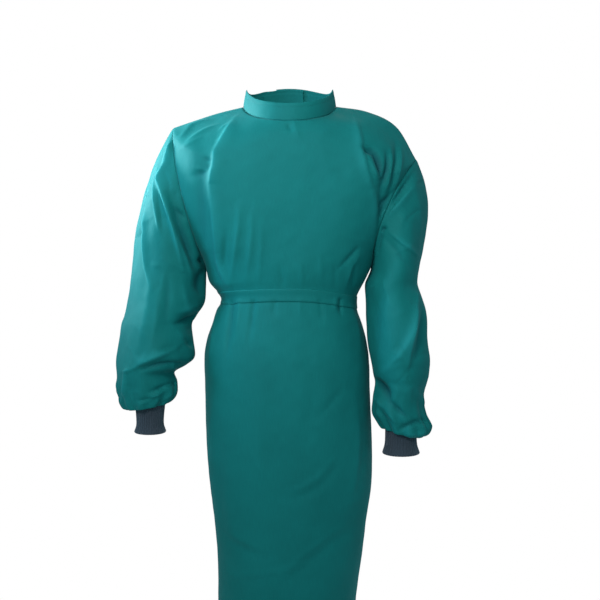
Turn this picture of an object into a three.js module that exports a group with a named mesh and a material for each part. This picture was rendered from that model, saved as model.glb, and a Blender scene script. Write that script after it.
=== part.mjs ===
// Surgical gown in its worn form: front, two lapped backs, sleeves on rib cuffs, neckband and tied belt.
// Millimetres, +Z up, the front towards -Y and the wearer's left towards +X.
// The origin is inside the neck opening, level with the two side neck points.
import * as THREE from "three";

// Cloth, seams and trim
const CLOTH = 1.5;
const SEAM_GAP = 0.3;
const BAND_HEIGHT = 35;
const BAND_LEAN = 7;
const CUFF_WALL = 2.6;
const RIB_COUNT = 36;
const RIB_DEPTH = 0.9;
const GATHER_COUNT = 6;

// Share of a half row that runs straight across the centre, and that runs along the seam's own direction
const CENTRE_REACH = 0.64;
const EDGE_REACH = 0.36;

// Lap of the two backs past the centre, as a share of a half row, how far the under one lies in,
// and where it starts and ends moving in, in laps
const LAP = 0.18;
const LAP_DEPTH = 3.4;
const LAP_RAMP = { start: -2.2, end: -1.2 };

// Share of a half row next to a seam in which folds die away, and the least lean of a wall at a seam
const SEAM_CALM = 0.12;
const LEAST_SLANT = 0.4;

// Shoulder and side seams
const SHOULDER_Y = 12;
const SIDE_Y = 4;
const ARMHOLE_DEPTH = 73;
const ARMHOLE_ROUND = 0.8;

// Mesh steps
const SHOULDER_ROWS = 4;
const ARMHOLE_ROWS = 12;
const FRONT_COLUMNS = 22;
const BACK_COLUMNS = 12;
const FAN_RINGS = 7;
const SLEEVE_RINGS = 18;

// Depth below the origin of the rows that the trunk is divided by, and the steps between them
const BELT_TOP = 385.5;
const BELT_BOTTOM = 412.5;
const TRUNK_STEPS = [
  { from: 322, to: BELT_TOP, steps: 4 },
  { from: BELT_TOP, to: BELT_BOTTOM, steps: 2 },
  { from: BELT_BOTTOM, to: 520, steps: 5 },
  { from: 520, to: 1250, steps: 10 },
];

// The waist rows climb towards the front: how far, where the trunk table's tilt is 1
const WAIST_RISE = { front: 17, back: -2, right: 5, left: -6 };

// Centre lines of the yoke from the neck (0) by the shoulder tip (1) to the underarm (2),
// and the direction in which a row reaches its seam
const YOKE = [
  { at: 0.0, frontY: -85, frontZ: -34, backY: 72, backZ: 10, out: 0.15, back: 0.85, up: 0.45 },
  { at: 0.5, frontY: -102, frontZ: -62, backY: 92, backZ: -22, out: 0.15, back: 0.9, up: 0.4 },
  { at: 1.0, frontY: -112, frontZ: -98, backY: 104, backZ: -62, out: 0.3, back: 0.85, up: 0.3 },
  { at: 1.5, frontY: -119, frontZ: -205, backY: 116, backZ: -190, out: 0.75, back: 0.6, up: 0.0 },
  { at: 2.0, frontY: -117, frontZ: -322, backY: 117, backZ: -322, out: 0.0, back: 1.0, up: 0.0 },
];

// Shoulder seam from the neck (0) to the tip (1) on each side
const SHOULDER = [
  { at: 0.0, rightX: -97, rightZ: 2, leftX: 96, leftZ: 3 },
  { at: 0.35, rightX: -147, rightZ: -10, leftX: 162, leftZ: -8 },
  { at: 0.7, rightX: -198, rightZ: -26, leftX: 222, leftZ: -39 },
  { at: 1.0, rightX: -242, rightZ: -41, leftX: 263, leftZ: -106 },
];

// Trunk from the underarm to the hem
const TRUNK = [
  { down: 322, right: -176, left: 172, front: -117, back: 117, tilt: 0 },
  { down: 341, right: -172.3, left: 162.5, front: -115, back: 115.6, tilt: 0.25 },
  { down: 366, right: -166, left: 149, front: -111, back: 108, tilt: 0.7 },
  { down: 384, right: -153, left: 140, front: -108, back: 101, tilt: 1 },
  { down: 400, right: -142, left: 138, front: -106, back: 98, tilt: 1 },
  { down: 417, right: -146, left: 140, front: -108, back: 101, tilt: 1 },
  { down: 450, right: -160, left: 151, front: -113, back: 109, tilt: 0.7 },
  { down: 484, right: -173, left: 159, front: -117, back: 117, tilt: 0.3 },
  { down: 518, right: -179, left: 164, front: -120, back: 123, tilt: 0 },
  { down: 586, right: -178, left: 167, front: -122, back: 127, tilt: 0 },
  { down: 706, right: -176, left: 173, front: -121, back: 125, tilt: 0 },
  { down: 793, right: -169, left: 172, front: -119, back: 121, tilt: 0 },
  { down: 862, right: -161, left: 162, front: -117, back: 118, tilt: 0 },
  { down: 932, right: -155, left: 154, front: -115, back: 116, tilt: 0 },
  { down: 1002, right: -153, left: 144, front: -113, back: 115, tilt: 0 },
  { down: 1046, right: -153, left: 139, front: -112, back: 114, tilt: 0 },
  { down: 1250, right: -150, left: 134, front: -110, back: 114, tilt: 0 },
];

// Underarm points, and how far the armhole seam bows sideways
const ARMHOLES = {
  right: { side: -1, underarmX: -176, underarmDown: 322, bow: -10, tipOut: 0.6 },
  left: { side: 1, underarmX: 172, underarmDown: 322, bow: -22, tipOut: 0.52 },
};

// How a sleeve leaves its armhole: outwards at the front and back, towards the front or back, and down.
// At the tip it goes out by the side's own tipOut.
const LEAVE = { faceOut: 0.75, spread: 0.2, tipFall: 0.9, faceFall: 0.6 };

// Sleeve sections from the level of the underarm to the cuff seam. Dip lowers the outer side.
const SLEEVES = {
  right: [
    { ring: 0, down: 348, outer: -333, inner: -177, front: -80, back: 82, dip: 0, gather: 0 },
    { ring: 1, down: 400, outer: -339, inner: -180, front: -84, back: 74, dip: 0, gather: 0 },
    { ring: 2, down: 432, outer: -346, inner: -196, front: -88, back: 67, dip: 0, gather: 0 },
    { ring: 3, down: 449, outer: -351, inner: -205, front: -92, back: 62, dip: 0, gather: 0 },
    { ring: 4, down: 482, outer: -355, inner: -201, front: -100, back: 52, dip: 0, gather: 0 },
    { ring: 5, down: 515, outer: -360, inner: -198, front: -105, back: 42, dip: 0, gather: 0 },
    { ring: 6, down: 532, outer: -361, inner: -216, front: -104, back: 36, dip: 0, gather: 0 },
    { ring: 7, down: 546, outer: -360, inner: -240, front: -100, back: 30, dip: 0, gather: 0 },
    { ring: 8, down: 568, outer: -357, inner: -235, front: -99, back: 24, dip: 2, gather: 1 },
    { ring: 9, down: 590, outer: -353, inner: -235, front: -97, back: 18, dip: 4, gather: 2.5 },
    { ring: 10, down: 606, outer: -349, inner: -242, front: -94, back: 10, dip: 6, gather: 4 },
    { ring: 11, down: 616, outer: -338, inner: -253, front: -89, back: -2, dip: 7, gather: 3 },
    { ring: 12, down: 604, outer: -321.5, inner: -257.5, front: -80, back: -14, dip: 2, gather: 0 },
  ],
  left: [
    { ring: 0, down: 348, outer: 268, inner: 163, front: -82, back: 70, dip: 0, gather: 0 },
    { ring: 1, down: 368, outer: 266, inner: 157, front: -84, back: 62, dip: 0, gather: 0 },
    { ring: 2, down: 398, outer: 275, inner: 160, front: -90, back: 52, dip: 0, gather: 0 },
    { ring: 3, down: 432, outer: 283, inner: 160, front: -98, back: 42, dip: 0, gather: 0 },
    { ring: 4, down: 482, outer: 285, inner: 161, front: -105, back: 30, dip: 0, gather: 0 },
    { ring: 5, down: 516, outer: 289, inner: 167, front: -107, back: 24, dip: 0, gather: 0 },
    { ring: 6, down: 549, outer: 287, inner: 173, front: -105, back: 18, dip: 0, gather: 0 },
    { ring: 7, down: 568, outer: 283, inner: 177, front: -101, back: 14, dip: 0, gather: 0 },
    { ring: 8, down: 600, outer: 276, inner: 173, front: -99, back: 10, dip: 0, gather: 1 },
    { ring: 9, down: 630, outer: 281, inner: 172, front: -98, back: 8, dip: 3, gather: 2.5 },
    { ring: 10, down: 652, outer: 292, inner: 180, front: -95, back: 4, dip: 8, gather: 4 },
    { ring: 11, down: 670, outer: 281, inner: 193, front: -90, back: -4, dip: 8, gather: 3 },
    { ring: 12, down: 654, outer: 264.6, inner: 197.4, front: -78.2, back: -13.8, dip: 2, gather: 0 },
  ],
};

// Rib cuffs from the sleeve seam to the open end
const CUFFS = {
  right: {
    x: -289.5,
    y: -47,
    sections: [
      { down: 600, wide: 31.4, deep: 32.4, ribbed: 0 },
      { down: 606, wide: 31.4, deep: 32.4, ribbed: 1 },
      { down: 653, wide: 28.4, deep: 29.5, ribbed: 1 },
      { down: 671, wide: 33.6, deep: 34.5, ribbed: 1 },
    ],
  },
  left: {
    x: 231,
    y: -46,
    sections: [
      { down: 650, wide: 32.7, deep: 31.3, ribbed: 0 },
      { down: 656, wide: 32.7, deep: 31.3, ribbed: 1 },
      { down: 696, wide: 33.8, deep: 31.5, ribbed: 1 },
      { down: 716, wide: 39.6, deep: 37, ribbed: 1 },
    ],
  },
};

// Largest folds, seen from the front or the back: a line from one place to another,
// its width and how far it stands out (+) or lies in (-)
const FRONT_FOLDS = [
  { x0: -116, z0: -36, x1: -148, z1: -92, wide: 17, deep: 5 },
  { x0: -153, z0: -118, x1: -150, z1: -345, wide: 15, deep: 6 },
  { x0: -207, z0: -148, x1: -172, z1: -134, wide: 15, deep: -8 },
  { x0: -176, z0: -165, x1: -168, z1: -310, wide: 13, deep: -6 },
  { x0: 147, z0: -92, x1: 176, z1: -160, wide: 17, deep: -9 },
  { x0: 135, z0: -284, x1: 97, z1: -322, wide: 11, deep: -3.5 },
  { x0: -113, z0: -252, x1: -110, z1: -362, wide: 11, deep: 2 },
  { x0: -80, z0: -240, x1: -78, z1: -362, wide: 10, deep: 1.5 },
  { x0: 104, z0: -402, x1: 104, z1: -445, wide: 11, deep: -2.5 },
  { x0: -71, z0: -400, x1: -79, z1: -485, wide: 10, deep: -2 },
  { x0: -118, z0: -404, x1: -137, z1: -495, wide: 10, deep: -3 },
  { x0: 106, z0: -703, x1: 58, z1: -766, wide: 16, deep: -1.5 },
  { x0: 21, z0: -1006, x1: 115, z1: -900, wide: 18, deep: -2 },
  { x0: -113, z0: -965, x1: 82, z1: -913, wide: 16, deep: -1.5 },
];

const BACK_FOLDS = [
  { x0: -96, z0: -60, x1: -128, z1: -190, wide: 18, deep: -6 },
  { x0: 112, z0: -70, x1: 136, z1: -200, wide: 18, deep: -6 },
  { x0: -104, z0: -240, x1: -96, z1: -372, wide: 14, deep: 3 },
  { x0: 96, z0: -250, x1: 90, z1: -376, wide: 14, deep: 3 },
  { x0: -92, z0: -412, x1: -104, z1: -520, wide: 14, deep: -3 },
  { x0: 88, z0: -414, x1: 102, z1: -540, wide: 14, deep: -3 },
  { x0: 60, z0: -900, x1: 92, z1: -1120, wide: 20, deep: -3 },
];

// Sleeve folds have a face: -1 on the front, 1 on the back
const SLEEVE_FOLDS = {
  right: [
    { face: -1, x0: -272, z0: -138, x1: -256, z1: -181, wide: 12, deep: 4 },
    { face: -1, x0: -256, z0: -181, x1: -221, z1: -318, wide: 12, deep: 5 },
    { face: -1, x0: -221, z0: -318, x1: -209, z1: -384, wide: 12, deep: 4 },
    { face: -1, x0: -292, z0: -216, x1: -270, z1: -374, wide: 14, deep: 3.5 },
    { face: -1, x0: -238, z0: -222, x1: -200, z1: -334, wide: 12, deep: -5 },
    { face: -1, x0: -203, z0: -437, x1: -244, z1: -452, wide: 10, deep: -6 },
    { face: -1, x0: -332, z0: -536, x1: -253, z1: -487, wide: 12, deep: 5 },
    { face: -1, x0: -318, z0: -541, x1: -232, z1: -541, wide: 12, deep: -7 },
    { face: -1, x0: -239, z0: -564, x1: -306, z1: -581, wide: 10, deep: -4 },
    { face: 1, x0: -330, z0: -250, x1: -240, z1: -330, wide: 18, deep: -5 },
    { face: 1, x0: -340, z0: -420, x1: -236, z1: -455, wide: 15, deep: -6 },
    { face: 1, x0: -340, z0: -500, x1: -262, z1: -540, wide: 15, deep: -5 },
  ],
  left: [
    { face: -1, x0: 195, z0: -215, x1: 249, z1: -134, wide: 11, deep: -5 },
    { face: -1, x0: 195, z0: -238, x1: 262, z1: -163, wide: 11, deep: -5 },
    { face: -1, x0: 190, z0: -250, x1: 205, z1: -246, wide: 9, deep: -5 },
    { face: -1, x0: 204, z0: -260, x1: 263, z1: -310, wide: 11, deep: 2 },
    { face: -1, x0: 184, z0: -544, x1: 264, z1: -396, wide: 14, deep: 5 },
    { face: -1, x0: 188, z0: -556, x1: 205, z1: -597, wide: 12, deep: -8 },
    { face: -1, x0: 200, z0: -590, x1: 246, z1: -634, wide: 11, deep: -4 },
    { face: -1, x0: 228, z0: -659, x1: 288, z1: -648, wide: 10, deep: 4 },
    { face: 1, x0: 262, z0: -250, x1: 190, z1: -330, wide: 18, deep: -5 },
    { face: 1, x0: 276, z0: -430, x1: 186, z1: -462, wide: 15, deep: -6 },
    { face: 1, x0: 280, z0: -540, x1: 196, z1: -580, wide: 15, deep: -5 },
  ],
};

// Belt at the centre back: the knot's share of a half row, its bulge, and the two free ends
const KNOT = { from: 0.05, to: -0.11, bulge: 13, clear: CLOTH + 1 };
const TAILS = {
  left: { top: 0.012, bottom: 0.12, width: 0.088, rows: 7 },
  right: { top: -0.082, bottom: -0.128, width: 0.088, rows: 8 },
};
const TAIL_CLEAR = 1.4;

const CLOTH_LOOK = { color: 0x157a74, roughness: 0.85, metalness: 0 };
const TRIM_LOOK = { color: 0x136b68, roughness: 0.85, metalness: 0 };
const KNIT_LOOK = { color: 0x2b343d, roughness: 0.95, metalness: 0 };

const smooth = (from, to, value) => THREE.MathUtils.smoothstep(value, from, to);

// Every column of a table at a place along its key column, on a smooth curve through the rows
function columnsAt(table, key, place) {
  const last = table.length - 1;
  let low = 0;
  while (low < last - 1 && table[low + 1][key] <= place) {
    low += 1;
  }
  const rows = [Math.max(low - 1, 0), low, low + 1, Math.min(low + 2, last)].map((i) => table[i]);
  const span = rows[2][key] - rows[1][key];
  const t = (place - rows[1][key]) / span;
  const found = {};
  for (const column of Object.keys(rows[1])) {
    const slopeIn = (rows[2][column] - rows[0][column]) / (rows[2][key] - rows[0][key]);
    const slopeOut = (rows[3][column] - rows[1][column]) / (rows[3][key] - rows[1][key]);
    found[column] = hermite(rows[1][column], slopeIn * span, rows[2][column], slopeOut * span, t);
  }
  return found;
}

function hermite(start, leave, end, arrive, t) {
  const rest = 1 - t;
  const early = rest * rest * ((1 + 2 * t) * start + t * leave);
  const late = t * t * ((3 - 2 * t) * end - rest * arrive);
  return early + late;
}

// Rows of the trunk's panels, from the neck to the hem
function panelRows() {
  const rows = [];
  for (let i = 0; i < SHOULDER_ROWS; i += 1) {
    rows.push({ yoke: i / SHOULDER_ROWS });
  }
  for (let i = 0; i < ARMHOLE_ROWS; i += 1) {
    rows.push({ yoke: 1 + i / ARMHOLE_ROWS });
  }
  for (const { from, to, steps } of TRUNK_STEPS) {
    for (let i = 0; i < steps; i += 1) {
      rows.push({ down: from + ((to - from) * i) / steps });
    }
  }
  rows.push({ down: TRUNK.at(-1).down });
  return rows;
}

// A point of the shoulder, armhole or side seam. Face is -1 for the front and 1 for the back.
function seamPoint(row, sideName, face) {
  if (row.down !== undefined) {
    const section = columnsAt(TRUNK, "down", row.down);
    const rise = section.tilt * WAIST_RISE[sideName];
    return new THREE.Vector3(section[sideName], SIDE_Y, rise - row.down);
  }
  const shoulder = columnsAt(SHOULDER, "at", Math.min(row.yoke, 1));
  const point = new THREE.Vector3(shoulder[sideName + "X"], SHOULDER_Y, shoulder[sideName + "Z"]);
  if (row.yoke > 1) {
    const { underarmX, underarmDown, bow } = ARMHOLES[sideName];
    const turn = Math.PI * (row.yoke - 1);
    const fall = (row.yoke - 1 + (1 - Math.cos(turn)) / 2) / 2;
    point.lerp(new THREE.Vector3(underarmX, SIDE_Y, -underarmDown), fall);
    point.x += bow * Math.sin(turn);
    point.y += face * ARMHOLE_DEPTH * Math.sin(turn) ** ARMHOLE_ROUND;
  }
  return point;
}

// A point of the front or back. Across runs from -1 at the right seam by 0 at the centre to 1 at the left seam.
function panelPoint(row, face, across) {
  const sideName = across < 0 ? "right" : "left";
  const edge = seamPoint(row, sideName, face);
  const centre = new THREE.Vector3();
  const arrive = new THREE.Vector3(0, -face, 0);
  if (row.down !== undefined) {
    const section = columnsAt(TRUNK, "down", row.down);
    const rise = section.tilt * WAIST_RISE[face < 0 ? "front" : "back"];
    centre.set(0, face < 0 ? section.front : section.back, rise - row.down);
  } else {
    const yoke = columnsAt(YOKE, "at", row.yoke);
    centre.set(0, face < 0 ? yoke.frontY : yoke.backY, face < 0 ? yoke.frontZ : yoke.backZ);
    arrive.set(Math.sign(edge.x) * yoke.out, -face * yoke.back, yoke.up);
  }
  const reach = EDGE_REACH * centre.distanceTo(edge);
  const curve = new THREE.CubicBezierCurve3(
    centre,
    new THREE.Vector3(edge.x * CENTRE_REACH, centre.y, centre.z),
    edge.clone().addScaledVector(arrive, -reach),
    edge,
  );
  return curve.getPoint(Math.abs(across));
}

// Outward normals of a grid of points. A closed grid joins its last column to its first.
function gridNormals(grid, closed) {
  const rowCount = grid.length;
  const count = grid[0].length;
  return grid.map((row, i) =>
    row.map((_, j) => {
      const above = grid[Math.max(i - 1, 0)][j];
      const below = grid[Math.min(i + 1, rowCount - 1)][j];
      const before = row[closed ? (j + count - 1) % count : Math.max(j - 1, 0)];
      const after = row[closed ? (j + 1) % count : Math.min(j + 1, count - 1)];
      const down = below.clone().sub(above);
      return down.cross(after.clone().sub(before)).normalize();
    }),
  );
}

// How far the folds of a table move a point that is seen at x and z
function foldDepth(folds, x, z) {
  const seen = new THREE.Vector3(x, 0, z);
  const nearest = new THREE.Vector3();
  let depth = 0;
  for (const fold of folds) {
    const line = new THREE.Line3(
      new THREE.Vector3(fold.x0, 0, fold.z0),
      new THREE.Vector3(fold.x1, 0, fold.z1),
    );
    const distance = line.closestPointToPoint(seen, true, nearest).distanceTo(seen);
    depth += fold.deep * Math.exp(-((distance / fold.wide) ** 2));
  }
  return depth;
}

// A panel's outer points, row by row, with its folds, from one place across to another
function panelGrid(face, from, to, columns, folds) {
  const places = Array.from({ length: columns + 1 }, (_, j) => from + ((to - from) * j) / columns);
  const grid = panelRows().map((row) => places.map((across) => panelPoint(row, face, across)));
  const normals = gridNormals(grid, false);
  return grid.map((row, i) =>
    row.map((point, j) => {
      const clearOfSeam = smooth(0, SEAM_CALM, 1 - Math.abs(places[j]));
      const depth = foldDepth(folds, point.x, point.z) * clearOfSeam;
      return point.clone().addScaledVector(normals[i][j], depth);
    }),
  );
}

// The right back goes under the left one, so its points move in towards its free edge
function tuckUnder(grid) {
  const normals = gridNormals(grid, false);
  return grid.map((row, i) =>
    row.map((point, j) => {
      const across = LAP - ((1 + LAP) * j) / BACK_COLUMNS;
      const depth = LAP_DEPTH * smooth(LAP_RAMP.start * LAP, LAP_RAMP.end * LAP, across);
      return point.clone().addScaledVector(normals[i][j], -depth);
    }),
  );
}

// Points of the armhole seam, round from the shoulder tip in the direction of the panels' columns
function armholeLoop(sideName) {
  const { side } = ARMHOLES[sideName];
  const loop = [];
  for (let k = 0; k < 2 * ARMHOLE_ROWS; k += 1) {
    const face = k < ARMHOLE_ROWS ? side : -side;
    const step = k < ARMHOLE_ROWS ? k : 2 * ARMHOLE_ROWS - k;
    const row = step === ARMHOLE_ROWS ? { down: TRUNK[0].down } : { yoke: 1 + step / ARMHOLE_ROWS };
    loop.push(seamPoint(row, sideName, face));
  }
  return loop;
}

// A point of a sleeve section. The angle runs from the outer side in the loop's direction.
function sleevePoint(sideName, ring, angle) {
  const { side } = ARMHOLES[sideName];
  const section = columnsAt(SLEEVES[sideName], "ring", ring);
  const gather = section.gather * Math.cos(GATHER_COUNT * angle);
  const halfWidth = Math.abs(section.outer - section.inner) / 2 + gather;
  const halfDepth = (section.back - section.front) / 2 + gather;
  return new THREE.Vector3(
    (section.outer + section.inner) / 2 + side * halfWidth * Math.cos(angle),
    (section.front + section.back) / 2 + side * halfDepth * Math.sin(angle),
    -section.down - section.dip * Math.cos(angle),
  );
}

// Rings that lead the sleeve from its armhole into its first level section
function fanPoint(sideName, start, angle, t) {
  const { side, tipOut } = ARMHOLES[sideName];
  const end = sleevePoint(sideName, 0, angle);
  const length = start.distanceTo(end);
  const towardsTip = (1 + Math.cos(angle)) / 2;
  const towardsFace = Math.sin(angle) ** 2;
  const leave = new THREE.Vector3(
    side * THREE.MathUtils.lerp(tipOut * towardsTip, LEAVE.faceOut, towardsFace),
    side * LEAVE.spread * Math.sin(angle),
    -THREE.MathUtils.lerp(LEAVE.tipFall, LEAVE.faceFall, towardsFace),
  );
  const arrive = sleevePoint(sideName, 0.5, angle).sub(end).normalize();
  leave.multiplyScalar(length);
  arrive.multiplyScalar(length);
  return new THREE.Vector3(
    hermite(start.x, leave.x, end.x, arrive.x, t),
    hermite(start.y, leave.y, end.y, arrive.y, t),
    hermite(start.z, leave.z, end.z, arrive.z, t),
  );
}

// A sleeve's outer points, ring by ring from the armhole to the cuff seam, with its folds
function sleeveGrid(sideName) {
  const loop = armholeLoop(sideName);
  const angles = loop.map((_, k) => (Math.PI * k) / ARMHOLE_ROWS);
  const grid = [loop];
  for (let r = 1; r < FAN_RINGS; r += 1) {
    grid.push(angles.map((angle, k) => fanPoint(sideName, loop[k], angle, r / FAN_RINGS)));
  }
  const lastRing = SLEEVES[sideName].at(-1).ring;
  for (let r = 0; r <= SLEEVE_RINGS; r += 1) {
    grid.push(angles.map((angle) => sleevePoint(sideName, (lastRing * r) / SLEEVE_RINGS, angle)));
  }
  const normals = gridNormals(grid, true);
  const frontFolds = SLEEVE_FOLDS[sideName].filter((fold) => fold.face < 0);
  const backFolds = SLEEVE_FOLDS[sideName].filter((fold) => fold.face > 0);
  return grid.map((ring, i) =>
    ring.map((point, j) => {
      const facing = normals[i][j].y;
      const folds = facing < 0 ? frontFolds : backFolds;
      const clearOfSeam = smooth(0, 2, i) * smooth(0, 3, grid.length - 1 - i);
      const depth = foldDepth(folds, point.x, point.z) * smooth(0.1, 0.6, Math.abs(facing)) * clearOfSeam;
      return point.clone().addScaledVector(normals[i][j], depth);
    }),
  );
}

// A closed solid between two grids of points
function solidBetween(outer, inner, closed) {
  const rowCount = outer.length;
  const count = outer[0].length;
  const points = [...outer.flat(), ...inner.flat()];
  const innerStart = rowCount * count;
  const faces = [];
  const quad = (a, b, c, d) => faces.push(a, b, c, a, c, d);
  const outside = (i, j) => i * count + (j % count);
  const inside = (i, j) => innerStart + outside(i, j);
  const steps = closed ? count : count - 1;
  for (let j = 0; j < steps; j += 1) {
    for (let i = 0; i < rowCount - 1; i += 1) {
      quad(outside(i, j), outside(i + 1, j), outside(i + 1, j + 1), outside(i, j + 1));
      quad(inside(i, j), inside(i, j + 1), inside(i + 1, j + 1), inside(i + 1, j));
    }
    const end = rowCount - 1;
    quad(outside(0, j), outside(0, j + 1), inside(0, j + 1), inside(0, j));
    quad(outside(end, j), inside(end, j), inside(end, j + 1), outside(end, j + 1));
  }
  if (!closed) {
    for (let i = 0; i < rowCount - 1; i += 1) {
      quad(outside(i, 0), inside(i, 0), inside(i + 1, 0), outside(i + 1, 0));
      quad(outside(i, steps), outside(i + 1, steps), inside(i + 1, steps), inside(i, steps));
    }
  }
  const geometry = new THREE.BufferGeometry();
  geometry.setAttribute("position", new THREE.Float32BufferAttribute(points.flatMap((p) => p.toArray()), 3));
  geometry.setIndex(faces);
  geometry.computeVertexNormals();
  return geometry;
}

const gown = new THREE.Group();
gown.name = "surgical_gown";

function addPiece(name, geometry, look) {
  const mesh = new THREE.Mesh(geometry, new THREE.MeshStandardMaterial(look));
  mesh.name = name;
  gown.add(mesh);
}

// Sewn pieces share their seam points. The mean of the normals that meet at such a point gives every wall there
// the same slant, and each edge then draws back by half of the seam's gap.
const seams = new Map();
const seamKey = (point) => point.toArray().map((value) => value.toFixed(2)).join(" ");

function noteSeams(piece) {
  piece.grid.forEach((row, i) =>
    row.forEach((point, j) => {
      const onSide = !piece.closed && (j === 0 || j === row.length - 1);
      if (!onSide && i > 0) {
        return;
      }
      const key = seamKey(point);
      const seam = seams.get(key) ?? { sum: new THREE.Vector3(), count: 0 };
      seam.sum.add(piece.normals[i][j]);
      seam.count += 1;
      seams.set(key, seam);
    }),
  );
}

function clothSolid(piece) {
  const { grid, normals, closed } = piece;
  const inner = [];
  const outer = grid.map((row, i) => {
    const innerRow = [];
    inner.push(innerRow);
    return row.map((point, j) => {
      const seam = seams.get(seamKey(point));
      const mean = seam ? seam.sum.clone().divideScalar(seam.count) : normals[i][j].clone();
      const slant = Math.max(mean.length(), LEAST_SLANT);
      const inwards = mean.normalize().multiplyScalar(-CLOTH / slant);
      const moved = point.clone();
      if (seam && seam.count > 1) {
        const count = row.length;
        const along = closed
          ? row[(j + 1) % count].clone().sub(row[(j + count - 1) % count])
          : grid[Math.min(i + 1, grid.length - 1)][j].clone().sub(grid[Math.max(i - 1, 0)][j]);
        const neighbour = closed ? grid[i + 1][j] : row[j === 0 ? 1 : count - 2];
        const back = along.cross(inwards).setLength(SEAM_GAP / 2);
        if (back.dot(neighbour.clone().sub(point)) < 0) {
          back.negate();
        }
        moved.add(back);
      }
      innerRow.push(moved.clone().add(inwards));
      return moved;
    });
  });
  return solidBetween(outer, inner, closed);
}

// Front, backs and sleeves
const front = panelGrid(-1, -1, 1, FRONT_COLUMNS, FRONT_FOLDS);
const backLeft = panelGrid(1, 1, -LAP, BACK_COLUMNS, BACK_FOLDS);
const backRight = panelGrid(1, LAP, -1, BACK_COLUMNS, BACK_FOLDS);
const sewnPieces = [
  { name: "front_panel", grid: front, closed: false },
  { name: "back_panel_left", grid: backLeft, closed: false },
  { name: "back_panel_right", grid: tuckUnder(backRight), closed: false },
  { name: "sleeve_right", grid: sleeveGrid("right"), closed: true },
  { name: "sleeve_left", grid: sleeveGrid("left"), closed: true },
];
for (const piece of sewnPieces) {
  piece.normals = gridNormals(piece.grid, piece.closed);
  noteSeams(piece);
}
for (const piece of sewnPieces) {
  addPiece(piece.name, clothSolid(piece), CLOTH_LOOK);
}

// Points moved out along their normals
function movedOut(grid, normals, distance) {
  return grid.map((row, i) =>
    row.map((point, j) => point.clone().addScaledVector(normals[i][j], distance)),
  );
}

// The neckband stands on the panels' neck edges, from the under lap round the front to the upper lap
function neckbandSolid() {
  const tucked = sewnPieces[2].grid[0];
  const edge = [...tucked, ...front[0].slice(1), ...backLeft[0].slice(1)];
  const outwards = edge.map((_, j) => {
    const before = edge[Math.max(j - 1, 0)];
    const after = edge[Math.min(j + 1, edge.length - 1)];
    return new THREE.Vector3(after.y - before.y, before.x - after.x, 0).normalize();
  });
  const heights = [BAND_HEIGHT, BAND_HEIGHT / 2, 0];
  const outer = heights.map((height) =>
    edge.map((point, j) => {
      const lean = (-BAND_LEAN * height) / BAND_HEIGHT;
      const raised = new THREE.Vector3(0, 0, height + SEAM_GAP);
      return raised.add(point).addScaledVector(outwards[j], lean);
    }),
  );
  return solidBetween(outer, movedOut(outer, heights.map(() => outwards), -CLOTH), false);
}
addPiece("neckband", neckbandSolid(), TRIM_LOOK);

// The belt lies on the panels' own points at the waist
const beltStart = panelRows().findIndex((row) => row.down === BELT_TOP);
const beltRows = [beltStart, beltStart + 1, beltStart + 2];

function beltSolid() {
  const firstPastLap = Math.floor((2 * LAP * BACK_COLUMNS) / (1 + LAP)) + 1;
  const grid = beltRows.map((i) => [
    ...front[i],
    ...backLeft[i].slice(1),
    ...backRight[i].slice(firstPastLap, -1),
  ]);
  const normals = gridNormals(grid, true);
  return solidBetween(movedOut(grid, normals, SEAM_GAP + CLOTH), movedOut(grid, normals, SEAM_GAP), true);
}
addPiece("belt", beltSolid(), TRIM_LOOK);

// A place on the left back between its own points
const backNormals = gridNormals(backLeft, false);

function onBack(grid, row, across) {
  const column = ((1 - across) * BACK_COLUMNS) / (1 + LAP);
  const i = Math.min(Math.floor(row), grid.length - 2);
  const j = Math.min(Math.floor(column), BACK_COLUMNS - 1);
  const upper = grid[i][j].clone().lerp(grid[i][j + 1], column - j);
  const lower = grid[i + 1][j].clone().lerp(grid[i + 1][j + 1], column - j);
  return upper.lerp(lower, row - i);
}

// A patch of cloth on the left back, given the places of its rows and columns
function patchOnBack(rows, columnsOf) {
  const read = (grid) => rows.map((row) => columnsOf(row).map((across) => onBack(grid, row, across)));
  return { grid: read(backLeft), normals: read(backNormals) };
}

// The knot is a soft lump on the belt
function knotSolid() {
  const steps = [0, 0.12, 0.3, 0.5, 0.7, 0.88, 1];
  const rows = steps.map((t) => THREE.MathUtils.lerp(beltRows[0] - 0.12, beltRows[2] + 0.12, t));
  const { grid, normals } = patchOnBack(rows, () =>
    steps.map((t) => THREE.MathUtils.lerp(KNOT.from, KNOT.to, t)),
  );
  const crown = (t) => Math.sqrt(1 - (2 * t - 1) ** 4);
  const outer = grid.map((row, i) =>
    row.map((point, j) => {
      const height = KNOT.clear + CLOTH + KNOT.bulge * crown(steps[i]) * crown(steps[j]);
      return point.clone().addScaledVector(normals[i][j], height);
    }),
  );
  return solidBetween(outer, movedOut(grid, normals, KNOT.clear), false);
}
addPiece("belt_knot", knotSolid(), TRIM_LOOK);

// Each free end hangs from under the knot and swings out a little
function tailSolid({ top, bottom, width, rows }) {
  const first = beltRows[2] + 0.2;
  const places = Array.from({ length: rows }, (_, i) => first + i);
  const { grid, normals } = patchOnBack(places, (row) => {
    const middle = THREE.MathUtils.lerp(top, bottom, (row - first) / (rows - 1));
    return [0.5, 0.25, 0, -0.25, -0.5].map((share) => middle + share * width);
  });
  return solidBetween(
    movedOut(grid, normals, TAIL_CLEAR + CLOTH),
    movedOut(grid, normals, TAIL_CLEAR),
    false,
  );
}
addPiece("belt_tail_left", tailSolid(TAILS.left), TRIM_LOOK);
addPiece("belt_tail_right", tailSolid(TAILS.right), TRIM_LOOK);

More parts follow.
